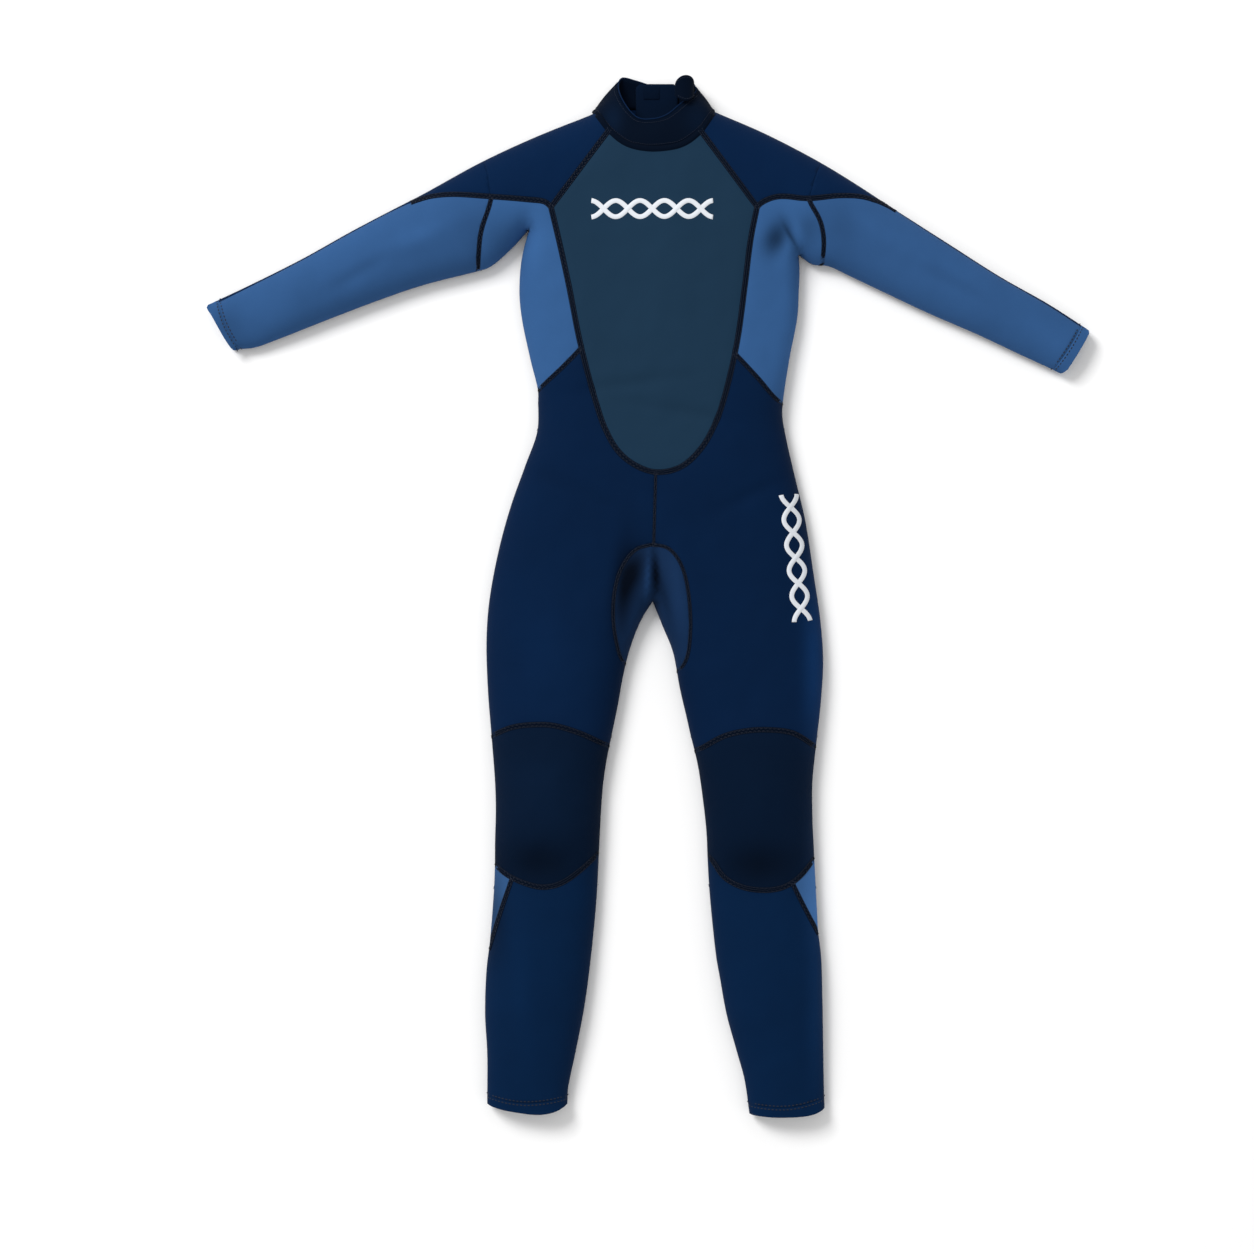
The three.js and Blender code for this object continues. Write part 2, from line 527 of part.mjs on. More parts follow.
// ---- Back zip, under the spine ----
const zip = new THREE.Group();
suit.add(zip);
const ZIP_HIGH = TORSO_LENGTH - ZIP_TOP;
const TAPE_LOW = NEOPRENE + LAP_GAP;
const TAPE_INNER = CHAIN_GAP / 2 + CHAIN_WIDTH + LAP_GAP;
const CHAIN_LOW = TAPE_LOW + TAPE_THICK / 2 - CHAIN_HEIGHT / 2;
const GUARD_LOW = CHAIN_LOW + CHAIN_HEIGHT + SLIDER_PLATE + 3 * LAP_GAP;
for (const [side, flip] of Object.entries(SIDES)) {
  const between = (near, far) => [Math.min(flip * near, flip * far), Math.max(flip * near, flip * far)];
  const [tapeFrom, tapeTo] = between(TAPE_INNER, SLOT_WIDTH / 2 + TAPE_LAP);
  place(side + "_zip_tape", block(
    [tapeFrom, ZIP_BOTTOM, TAPE_LOW],
    [tapeTo, ZIP_HIGH, TAPE_LOW + TAPE_THICK],
  ), BLACK, zip);
  const [chainFrom, chainTo] = between(CHAIN_GAP / 2, CHAIN_GAP / 2 + CHAIN_WIDTH);
  place(side + "_zip_teeth", block(
    [chainFrom, ZIP_BOTTOM + STOP_LENGTH + 1, CHAIN_LOW],
    [chainTo, ZIP_HIGH - STOP_LENGTH - 1, CHAIN_LOW + CHAIN_HEIGHT],
  ), BLACK, zip);
}
const STOP_HALF = TAPE_INNER - LAP_GAP;
place("zip_bottom_stop", block(
  [-STOP_HALF, ZIP_BOTTOM, CHAIN_LOW],
  [STOP_HALF, ZIP_BOTTOM + STOP_LENGTH, CHAIN_LOW + CHAIN_HEIGHT],
), METAL, zip);
place("zip_top_stop", block(
  [-STOP_HALF, ZIP_HIGH - STOP_LENGTH, CHAIN_LOW],
  [STOP_HALF, ZIP_HIGH, CHAIN_LOW + CHAIN_HEIGHT],
), METAL, zip);

// The slider: a plate on each side of the teeth, joined by a web that runs between the two rows.
const SLIDER_HIGH = ZIP_HIGH - STOP_LENGTH - 2;
const SLIDER_LOW = SLIDER_HIGH - SLIDER_LENGTH;
const PLATE_TOP = CHAIN_LOW - LAP_GAP;
const webHalf = CHAIN_GAP / 2 - LAP_GAP;
const sliderPlate = (low) => block(
  [-SLIDER_WIDTH / 2, SLIDER_LOW, low],
  [SLIDER_WIDTH / 2, SLIDER_HIGH, low + SLIDER_PLATE],
);
const slider = sliderPlate(PLATE_TOP - SLIDER_PLATE)
  .add(sliderPlate(CHAIN_LOW + CHAIN_HEIGHT + LAP_GAP))
  .add(block([-webHalf, SLIDER_HIGH - 6, PLATE_TOP - 0.1], [webHalf, SLIDER_HIGH, CHAIN_LOW + CHAIN_HEIGHT + 2 * LAP_GAP]));
place("zip_slider", slider, METAL, zip);
const PULL_HIGH = PLATE_TOP - SLIDER_PLATE - LAP_GAP;
const pull = block(
  [-PULL_WIDTH / 2, SLIDER_HIGH - PULL_LENGTH - 3, PULL_HIGH - PULL_THICK],
  [PULL_WIDTH / 2, SLIDER_HIGH - 3, PULL_HIGH],
).subtract(block(
  [-PULL_WIDTH / 4, SLIDER_HIGH - PULL_LENGTH, CUT_LOW],
  [PULL_WIDTH / 4, SLIDER_HIGH - PULL_LENGTH + 5, PULL_HIGH + 1],
));
place("zip_pull", pull, METAL, zip);
place("zip_guard_flap", block(
  [-GUARD_WIDTH / 2 + GUARD_OFFSET, ZIP_BOTTOM + 4, GUARD_LOW],
  [GUARD_WIDTH / 2 + GUARD_OFFSET, COLLAR_TOP - 6, GUARD_LOW + NEOPRENE],
), NAVY, zip);

// ---- Collar closure: a tab hinged at one back end, which fastens to a patch across the opening ----
const CLOSED_LOW = GUARD_LOW + NEOPRENE + 2 * PATCH_THICK + 2 * LAP_GAP;
const TAB_HIGH = COLLAR_TOP - 2;
const TAB_LOW = TAB_HIGH - TAB_WIDTH;
const PATCH_MARGIN = 3;
place("loop_patch", block(
  [TAB_HINGE - TAB_LENGTH, TAB_LOW + PATCH_MARGIN, GUARD_LOW + NEOPRENE + LAP_GAP],
  [TAB_HINGE - TAB_LENGTH + PATCH_LENGTH, TAB_HIGH - PATCH_MARGIN - 4, GUARD_LOW + NEOPRENE + LAP_GAP + PATCH_THICK],
), BLACK);
// Both pieces are made in the closed place, with the hinge line as the group's origin, then stood up.
const tab = new THREE.Group();
tab.position.set(TAB_HINGE, 0, CLOSED_LOW);
tab.rotation.y = THREE.MathUtils.degToRad(TAB_LEAN);
suit.add(tab);
place("collar_tab", block([-TAB_LENGTH, TAB_LOW, 0], [-1, TAB_HIGH, TAB_THICK]), DARK, tab);
place("hook_patch", block(
  [-TAB_LENGTH + 1, TAB_LOW + PATCH_MARGIN, -PATCH_THICK - 0.3],
  [-TAB_LENGTH + PATCH_LENGTH, TAB_HIGH - PATCH_MARGIN, -0.3],
), BLACK, tab);

// ---- Printed marks: two crossing waves, lying on the fabric ----
const printSkin = body(-LAP_GAP - PRINT_THICK).subtract(body(-LAP_GAP));
function printedWaves(name, from, to, breadth) {
  const along = to.clone().sub(from);
  const across = new V2(-along.y, along.x).normalize();
  const wave = (sign) => {
    const points = [];
    for (let i = 0; i <= WAVE_STEPS; i += 1) {
      const share = i / WAVE_STEPS;
      const swing = sign * (breadth - WAVE_STROKE) / 2 * Math.cos(Math.PI * WAVE_COUNT * share);
      points.push(from.clone().addScaledVector(along, share).addScaledVector(across, swing));
    }
    return blade(points, FOLD_HEIGHT, CUT_HIGH, WAVE_STROKE);
  };
  place(name, largest(printSkin.intersect(wave(1).add(wave(-1)))), WHITE);
}
printedWaves(
  "chest_print",
  new V2(-CHEST_PRINT_LENGTH / 2, CHEST_TOP - 6),
  new V2(CHEST_PRINT_LENGTH / 2, CHEST_TOP - 6),
  PRINT_BREADTH,
);
const thighPrintTop = onTorso("left", GUSSET_RISE + 72, 0.86);
printedWaves(
  "thigh_print",
  thighPrintTop,
  thighPrintTop.clone().add(new V2(THIGH_PRINT_LENGTH * 0.1, -THIGH_PRINT_LENGTH)),
  PRINT_BREADTH,
);

// ---- The suit stands on z = 0 with its origin at the middle of its box ----
const box = new THREE.Box3().setFromObject(suit);
const middle = box.getCenter(new THREE.Vector3());
suit.position.set(-middle.x, -middle.y, -box.min.z);

// Hinge and slide places, in the finished frame.
const finished = (x, y, z) => new THREE.Vector3(x, y, z).add(suit.position);
const foldLine = (points, height) => points.map((point) => finished(point.x, point.y, height));
suit.userData = {
  rightSleeveFold: foldLine(armSeam("right"), SLEEVE_HEIGHT + 8),
  leftSleeveFold: foldLine(armSeam("left"), SLEEVE_HEIGHT + 8),
  rightLegFold: foldLine(acrossLeg("right", SHIN_TOP), SHIN_HEIGHT),
  leftLegFold: foldLine(acrossLeg("left", SHIN_TOP), SHIN_HEIGHT),
  tabHinge: finished(TAB_HINGE, TAB_LOW, CLOSED_LOW),
  sliderTravel: SLIDER_LOW - ZIP_BOTTOM - STOP_LENGTH - 1,
  pullHinge: finished(0, SLIDER_HIGH - 3, PULL_HIGH - PULL_THICK / 2),
};

export default suit;
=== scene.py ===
"""A full wetsuit laid flat on its back: panels, seams, stitches, collar, back zip and printed marks."""

import json
import logging
import math
from dataclasses import dataclass, field, replace
from enum import Enum
from typing import Iterable, Sequence

import bmesh
import bpy
import numpy as np
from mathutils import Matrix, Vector, noise
from mathutils.bvhtree import BVHTree
from mathutils.geometry import delaunay_2d_cdt
from mathutils.kdtree import KDTree


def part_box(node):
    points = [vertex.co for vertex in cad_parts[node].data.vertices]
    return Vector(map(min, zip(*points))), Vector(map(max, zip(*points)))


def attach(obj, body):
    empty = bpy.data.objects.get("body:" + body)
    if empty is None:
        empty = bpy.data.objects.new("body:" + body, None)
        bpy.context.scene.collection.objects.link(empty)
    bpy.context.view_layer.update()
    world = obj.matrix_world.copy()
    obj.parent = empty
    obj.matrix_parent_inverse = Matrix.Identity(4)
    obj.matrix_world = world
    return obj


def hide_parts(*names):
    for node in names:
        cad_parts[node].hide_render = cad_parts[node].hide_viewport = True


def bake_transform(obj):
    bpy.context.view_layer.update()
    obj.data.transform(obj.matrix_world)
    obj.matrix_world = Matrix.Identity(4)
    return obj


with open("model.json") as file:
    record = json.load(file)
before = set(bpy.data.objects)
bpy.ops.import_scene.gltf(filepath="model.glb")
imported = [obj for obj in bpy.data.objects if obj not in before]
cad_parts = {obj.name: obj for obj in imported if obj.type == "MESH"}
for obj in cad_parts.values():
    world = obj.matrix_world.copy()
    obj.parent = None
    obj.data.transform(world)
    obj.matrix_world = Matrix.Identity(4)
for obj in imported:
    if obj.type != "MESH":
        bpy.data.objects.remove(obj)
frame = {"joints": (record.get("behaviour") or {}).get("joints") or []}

log = logging.getLogger("wetsuit")
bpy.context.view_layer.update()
Point = tuple[float, float]
Line = tuple[Point, ...]  # x from the midline and y from the crotch, in millimetres
Curve = tuple[tuple[float, float, float], ...]  # rows of x, y, z, in millimetres
Path = np.ndarray  # rows of x, y in metres
Part = tuple[np.ndarray, list, np.ndarray]  # a closed shape's points, faces and flat-cloth places
Stitch = tuple[float, float, float, float]  # spacing, length, width and height in metres
MM = 0.001
TINY = 1e-12
LINE_STEP = 0.004  # between the points of a seam's line
EDGE_STEP = 0.0045  # between the points of the suit's outline
DOT_STEP = 0.001  # between the dots that distances are measured to


class Side(Enum):
    """The wearer's two sides, with the sign of X that each lies on."""

    RIGHT = -1
    LEFT = 1

    @property
    def word(self) -> str:
        """The side as a node name starts with it."""
        return self.name.lower()


# ---- Lines in the plane that the suit lies on ----


def unit(rows: np.ndarray) -> np.ndarray:
    """Scales each row to a length of one."""
    return rows / np.maximum(np.linalg.norm(rows, axis=-1, keepdims=True), TINY)


def run_of(line: Path) -> np.ndarray:
    """The distance along a line to each of its points."""
    return np.concatenate([[0.0], np.cumsum(np.linalg.norm(np.diff(line, axis=0), axis=1))])


def sideways(line: Path) -> np.ndarray:
    """The direction across a line in plan, at each of its points."""
    heading = np.gradient(line, axis=0)
    return unit(np.stack([-heading[:, 1], heading[:, 0]], axis=1))


def cloth_grid(run: np.ndarray, across: np.ndarray) -> np.ndarray:
    """Flat-cloth places of a strip, from the places along it and across it."""
    return np.stack(np.broadcast_arrays(run[:, None], across[None]), axis=-1).reshape(-1, 2)


def smooth(points: Path, step: float = LINE_STEP) -> Path:
    """Runs a centripetal curve through points and samples it evenly.

    Args:
        points: the points that the curve passes through, in order.
        step: the distance between samples, in metres.

    Returns:
        The sampled curve, with both of its ends kept.
    """
    if len(points) == 2:
        return resample(points, step)
    padded = np.vstack([2 * points[0] - points[1], points, 2 * points[-1] - points[-2]])
    knots = np.concatenate([[0.0], np.cumsum(np.linalg.norm(np.diff(padded, axis=0), axis=1) ** 0.5)])
    rows = []
    for i in range(1, len(padded) - 2):
        t0, t1, t2, t3 = knots[i - 1 : i + 3]
        p0, p1, p2, p3 = padded[i - 1 : i + 3]
        t = np.linspace(t1, t2, 24, endpoint=False)[:, None]
        a1 = (t1 - t) / (t1 - t0) * p0 + (t - t0) / (t1 - t0) * p1
        a2 = (t2 - t) / (t2 - t1) * p1 + (t - t1) / (t2 - t1) * p2
        a3 = (t3 - t) / (t3 - t2) * p2 + (t - t2) / (t3 - t2) * p3
        b1 = (t2 - t) / (t2 - t0) * a1 + (t - t0) / (t2 - t0) * a2
        b2 = (t3 - t) / (t3 - t1) * a2 + (t - t1) / (t3 - t1) * a3
        rows.append((t2 - t) / (t2 - t1) * b1 + (t - t1) / (t2 - t1) * b2)
    return resample(np.vstack([*rows, padded[-2][None]]), step)


def resample(points: Path, step: float) -> Path:
    """Spaces points evenly along a polyline of any dimension.

    Args:
        points: the polyline.
        step: the distance wanted between points.

    Returns:
        The evenly spaced polyline, ends kept.
    """
    run = run_of(points)
    wanted = np.linspace(0, run[-1], max(2, int(round(run[-1] / step)) + 1))
    return np.stack([np.interp(wanted, run, points[:, k]) for k in range(points.shape[1])], axis=1)


def inside(places: np.ndarray, outline: Path) -> np.ndarray:
    """Tells which places are inside a closed outline."""
    within = np.zeros(len(places), bool)
    x, y = places.T
    for (ax, ay), (bx, by) in zip(outline, np.roll(outline, -1, axis=0)):
        crosses = (ay > y) != (by > y)
        if ay != by:
            within ^= crosses & (x < (bx - ax) * (y - ay) / (by - ay) + ax)
    return within


def ease(value: np.ndarray) -> np.ndarray:
    """Turns 0 to 1 into a smooth step of the same range."""
    t = np.clip(value, 0, 1)
    return t * t * (3 - 2 * t)


def bump_at(places: np.ndarray, centre: Point, radii: Point, turn: float = 0.0) -> np.ndarray:
    """A soft round bump of height 1.

    Args:
        places: rows of x, y in metres.
        centre: the bump's middle, in millimetres.
        radii: its spread along its own x and y, in millimetres.
        turn: its turn, in degrees.

    Returns:
        The bump's value at each place.
    """
    away = places - np.array(centre) * MM
    c, s = math.cos(math.radians(turn)), math.sin(math.radians(turn))
    u = (away[:, 0] * c + away[:, 1] * s) / (radii[0] * MM)
    v = (-away[:, 0] * s + away[:, 1] * c) / (radii[1] * MM)
    return np.exp(-(u * u + v * v))


# ---- Finishes ----


class Wire:
    """One shader socket, on which Python's operators add Math nodes."""

    def __init__(self, shader: "Shader", socket: bpy.types.NodeSocket) -> None:
        """Keeps the socket and the shader that it belongs to."""
        self.shader = shader
        self.socket = socket

    def _math(self, operation: str, *values: "Wire | float") -> "Wire":
        """Adds a Math node on the values given."""
        return self.shader.node("ShaderNodeMath", {"operation": operation}, dict(enumerate(values)))

    def __add__(self, other: "Wire | float") -> "Wire":
        """Adds."""
        return self._math("ADD", self, other)

    __radd__ = __add__

    def __mul__(self, other: "Wire | float") -> "Wire":
        """Multiplies."""
        return self._math("MULTIPLY", self, other)

    __rmul__ = __mul__

    def __sub__(self, other: "Wire | float") -> "Wire":
        """Subtracts a value."""
        return self._math("SUBTRACT", self, other)

    def __rsub__(self, other: "Wire | float") -> "Wire":
        """Subtracts this from a value."""
        return self._math("SUBTRACT", other, self)

    def wave(self) -> "Wire":
        """The sine of the value."""
        return self._math("SINE", self)

    def size(self) -> "Wire":
        """The value without its sign."""
        return self._math("ABSOLUTE", self)


class Shader:
    """A material's node tree, with one way to add each node."""

    def __init__(self, name: str) -> None:
        """Starts an empty material of this name."""
        self.material = bpy.data.materials.new(name)
        self.material.use_nodes = True
        self.tree = self.material.node_tree
        self.tree.nodes.clear()

    def node(
        self, kind: str, settings: dict | None = None, sockets: dict | None = None, out: int | str = 0
    ) -> Wire:
        """Adds one node.

        Args:
            kind: the node's type.
            settings: its own settings, which are set first.
            sockets: values or links for its input sockets, by name or place.
            out: the output wanted.

        Returns:
            The output, ready for more maths.
        """
        made = self.tree.nodes.new(kind)
        for key, value in (settings or {}).items():
            setattr(made, key, value)
        for key, value in (sockets or {}).items():
            if isinstance(value, Wire):
                self.tree.links.new(value.socket, made.inputs[key])
            else:
                made.inputs[key].default_value = value
        return Wire(self, made.outputs[out])

    def finish(self, surface: Wire) -> bpy.types.Material:
        """Joins the surface to the output and hands the material over."""
        output = self.tree.nodes.new("ShaderNodeOutputMaterial")
        self.tree.links.new(surface.socket, output.inputs["Surface"])
        return self.material


def linear(red: float, green: float, blue: float) -> tuple[float, float, float, float]:
    """Turns display colour values from 0 to 255 into a linear colour."""
    shares = (red / 255, green / 255, blue / 255)
    return (*(v / 12.92 if v <= 0.04045 else ((v + 0.055) / 1.055) ** 2.4 for v in shares), 1.0)


class Weave(Enum):
    """How a cloth finish is knitted or woven, as wale and course spacings in metres."""

    JERSEY = (0.0013, 0.0010)
    SMOOTH = (0.0005, 0.0005)
    TAPE = (0.0012, 0.0024)
    PILE = (0.0011, 0.0009)


@dataclass(frozen=True)
class Cloth:
    """A fabric-faced finish: its colour, knit, sheen and relief."""

    name: str
    colour: tuple[float, float, float]
    weave: Weave = Weave.JERSEY
    roughness: float = 0.78
    sheen: float = 0.02
    relief: float = 0.35
    mottle: float = 0.22
    cloud_scale: float = 13.0
    grain_scale: float = 900.0
    thread_depth: float = 0.0004
    knit_tone: tuple[float, float] = (0.9, 0.13)
    gloss_spread: float = 0.12

    def make(self) -> bpy.types.Material:
        """Builds the material on the piece's own flat-cloth coordinates.

        Returns:
            The material, whose colour is scaled by the piece's attribute of painted shade and painted
            highlights.
        """
        s = Shader(self.name)
        flat = s.node("ShaderNodeUVMap", {"uv_map": "flat"})
        u = s.node("ShaderNodeSeparateXYZ", {}, {0: flat}, 0)
        v = s.node("ShaderNodeSeparateXYZ", {}, {0: flat}, 1)
        wale, course = self.weave.value
        ribs = (u * (math.pi / wale)).wave().size()
        rows = (v * (math.pi / course) + (u * (2 * math.pi / wale)).wave() * 0.8).wave().size()
        knit = ribs * 0.6 + rows * 0.4
        soft = {"Vector": flat, "Scale": self.cloud_scale, "Detail": 5.0, "Roughness": 0.6}
        cloud = s.node("ShaderNodeTexNoise", {}, soft, "Fac")
        fine = {"Vector": flat, "Scale": self.grain_scale, "Detail": 2.0}
        grain = s.node("ShaderNodeTexNoise", {}, fine, "Fac")
        # The colour is scaled by painted shade and highlights from the piece's attribute, by random mottle
        # and by the knit.
        tone = s.node("ShaderNodeAttribute", {"attribute_name": "tone"}, {}, "Fac")
        low, gain = self.knit_tone
        level = tone * (1 - self.mottle * 0.5 + cloud * self.mottle) * (low + knit * gain)
        base = linear(*self.colour)[:3]
        colour = s.node("ShaderNodeVectorMath", {"operation": "SCALE"}, {0: base, "Scale": level})
        height = {"Strength": self.relief, "Distance": self.thread_depth, "Height": knit + grain * 0.5}
        sockets = {
            "Base Color": colour,
            "Roughness": self.roughness + (cloud - 0.5) * self.gloss_spread,
            "Normal": s.node("ShaderNodeBump", {}, height),
            "Sheen Weight": self.sheen,
            "Sheen Roughness": 0.4,
            "Specular IOR Level": 0.03,
        }
        return s.finish(s.node("ShaderNodeBsdfPrincipled", {}, sockets))


@dataclass(frozen=True)
class Hard:
    """A moulded or cast finish on object coordinates."""

    name: str
    colour: tuple[float, float, float]
    roughness: float
    metallic: float = 0.0
    grain: float = 0.15
    scuff_scale: float = 1400.0
    scuff_depth: float = 0.0002

    def make(self) -> bpy.types.Material:
        """Builds the material, with fine scuffs in its gloss and relief."""
        s = Shader(self.name)
        place = s.node("ShaderNodeTexCoord", {}, {}, "Object")
        stretched = s.node("ShaderNodeMapping", {}, {"Vector": place, "Scale": (1.0, 0.2, 1.0)})
        fine = {"Vector": stretched, "Scale": self.scuff_scale, "Detail": 4.0}
        scuff = s.node("ShaderNodeTexNoise", {}, fine, "Fac")
        base = linear(*self.colour)[:3]
        level = 0.92 + scuff * 0.16
        colour = s.node("ShaderNodeVectorMath", {"operation": "SCALE"}, {0: base, "Scale": level})
        height = {"Strength": self.grain, "Distance": self.scuff_depth, "Height": scuff}
        sockets = {
            "Base Color": colour,
            "Roughness": self.roughness + (scuff - 0.5) * 0.2,
            "Metallic": self.metallic,
            "Normal": s.node("ShaderNodeBump", {}, height),
        }
        return s.finish(s.node("ShaderNodeBsdfPrincipled", {}, sockets))


@dataclass(frozen=True)
class Studio:
    """The pale floor, the soft light and the camera above the suit."""

    camera_place: tuple[float, float, float] = (-0.0298, -0.0446, 4.145)
    focal_length: float = 85.0
    sensor: float = 36.0
    floor_size: float = 9.0
    floor_height: float = -0.0005
    floor_tone: float = 0.97
    sky: float = 0.66
    key_place: tuple[float, float, float] = (-4.8, 5.2, 6.9)
    key_size: float = 3.8
    key_power: float = 700.0

    def build(self) -> None:
        """Adds the floor, the lights and the camera."""
        bpy.context.scene.view_settings.view_transform = "Standard"
        self._floor()
        world = bpy.data.worlds.new("studio_sky")
        world.use_nodes = True
        sky = world.node_tree.nodes["Background"].inputs
        sky["Color"].default_value = (1, 1, 1, 1)
        sky["Strength"].default_value = self.sky
        bpy.context.scene.world = world
        lamp = bpy.data.lights.new("key_light", "AREA")
        lamp.size = self.key_size
        lamp.energy = self.key_power
        key = self._put("key_light", lamp, self.key_place)
        key.rotation_euler = (-Vector(self.key_place)).to_track_quat("-Z", "Y").to_euler()
        lens = bpy.data.cameras.new("camera")
        lens.lens = self.focal_length
        lens.sensor_width = self.sensor
        bpy.context.scene.camera = self._put("camera", lens, self.camera_place)
        log.info("studio: floor, key light, sky and camera")

    def _floor(self) -> None:
        """Lays the pale paper floor."""
        half, z = self.floor_size / 2, self.floor_height
        mesh = bpy.data.meshes.new("studio_floor")
        corners = [(-half, -half, z), (half, -half, z), (half, half, z), (-half, half, z)]
        mesh.from_pydata(corners, [], [(0, 1, 2, 3)])
        floor = self._put("studio_floor", mesh, (0, 0, 0))
        shader = Shader("studio_paper")
        sockets = {"Base Color": (*(self.floor_tone,) * 3, 1.0), "Roughness": 0.95, "Specular IOR Level": 0.1}
        mesh.materials.append(shader.finish(shader.node("ShaderNodeBsdfPrincipled", {}, sockets)))

    @staticmethod
    def _put(name: str, data: bpy.types.ID, place: Sequence[float]) -> bpy.types.Object:
        """Links a new object of this data at a place."""
        made = bpy.data.objects.new(name, data)
        made.location = place
        bpy.context.collection.objects.link(made)
        return made


# ---- Making mesh objects ----


def new_object(
    name: str,
    points: np.ndarray,
    faces: Sequence[Sequence[int]],
    finish: bpy.types.Material,
    flat: np.ndarray | None = None,
    tone: np.ndarray | None = None,
    hard_faces: int = 0,
) -> bpy.types.Object:
    """Makes a mesh object with its flat-cloth coordinates and its colour level of painted shade and
    highlights.

    Args:
        name: the piece's name.
        points: the mesh's points, in place.
        faces: the point numbers round each face.
        finish: its material.
        flat: each point's place on the flat cloth, in metres; its X and Y where left out.
        tone: each point's colour level of painted shade and highlights; 1 where left out.
        hard_faces: how many faces at the end of the list are shaded flat.

    Returns:
        The object, linked to the scene.
    """
    mesh = bpy.data.meshes.new(name)
    mesh.from_pydata(points.tolist(), [], [tuple(int(i) for i in face) for face in faces])
    corners = np.empty(len(mesh.loops), np.int32)
    mesh.loops.foreach_get("vertex_index", corners)
    flat = points[:, :2] if flat is None else flat
    layer = mesh.uv_layers.new(name="flat")
    layer.data.foreach_set("uv", flat[corners].astype(np.float32).ravel())
    values = np.ones(len(points), np.float32) if tone is None else tone.astype(np.float32)
    mesh.attributes.new("tone", "FLOAT", "POINT").data.foreach_set("value", values)
    soft = np.ones(len(mesh.polygons), bool)
    if hard_faces:
        soft[-hard_faces:] = False
    mesh.polygons.foreach_set("use_smooth", soft)
    mesh.materials.append(finish)
    mesh.validate()
    made = bpy.data.objects.new(name, mesh)
    bpy.context.collection.objects.link(made)
    return made


def sweep(rings: np.ndarray) -> list[tuple[int, ...]]:
    """Joins closed rings of points into a capped tube.

    Args:
        rings: rings, points round each, xyz.

    Returns:
        The faces, which point outwards where the rings turn anticlockwise as seen from ahead.
    """
    count, around = rings.shape[:2]
    faces = []
    for i in range(count - 1):
        a, b = i * around, (i + 1) * around
        for j in range(around):
            k = (j + 1) % around
            faces.append((a + j, a + k, b + k, b + j))
    faces.append(tuple(reversed(range(around))))
    faces.append(tuple(range((count - 1) * around, count * around)))
    return faces


def joined(name: str, parts: Sequence[Part], finish: bpy.types.Material) -> bpy.types.Object:
    """Makes one object of several closed pieces.

    Args:
        name: the object's name.
        parts: points, faces and flat places of each.
        finish: the material of all.

    Returns:
        The object.
    """
    points, faces, flats, first = [], [], [], 0
    for part_points, part_faces, part_flat in parts:
        points.append(part_points)
        flats.append(part_flat)
        faces.extend([tuple(i + first for i in face) for face in part_faces])
        first += len(part_points)
    made = new_object(name, np.vstack(points), faces, finish, np.vstack(flats))
    work = bmesh.new()
    work.from_mesh(made.data)
    bmesh.ops.recalc_face_normals(work, faces=work.faces)
    work.to_mesh(made.data)
    work.free()
    return made


def declare(piece: bpy.types.Object, body: str, node: str = "") -> None:
    """Says what a piece rides and which node it stands for.

    Args:
        piece: the piece.
        body: the body that it rides; left out for pieces that cross a fold, which then ride no body.
        node: the CAD node that it stands for, where it does.
    """
    if body:
        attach(piece, body)
    if node:
        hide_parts(node)


def polished(node: str, name: str, bevel: float, finish: bpy.types.Material) -> bpy.types.Object:
    """Copies a CAD node's mesh, merges it and rounds its edges.

    Args:
        node: the CAD node.
        name: the new piece's name.
        bevel: the rounding, in metres.
        finish: the material.

    Returns:
        The rounded piece, in the node's place.
    """
    same_spot, same_plane, sharp = 1e-6, 0.02, 0.3
    work = bmesh.new()
    work.from_mesh(bpy.data.objects[node].data)
    bmesh.ops.remove_doubles(work, verts=work.verts, dist=same_spot)
    bmesh.ops.dissolve_limit(work, angle_limit=same_plane, verts=work.verts, edges=work.edges)
    edges = [edge for edge in work.edges if len(edge.link_faces) == 2 and edge.calc_face_angle() > sharp]
    bmesh.ops.bevel(
        work, geom=edges, offset=bevel, segments=3, profile=0.5, affect="EDGES", clamp_overlap=True
    )
    bmesh.ops.recalc_face_normals(work, faces=work.faces)
    points = np.array([vert.co[:] for vert in work.verts])
    work.verts.index_update()
    faces = [[vert.index for vert in face.verts] for face in work.faces]
    work.free()
    return new_object(name, points, faces, finish)


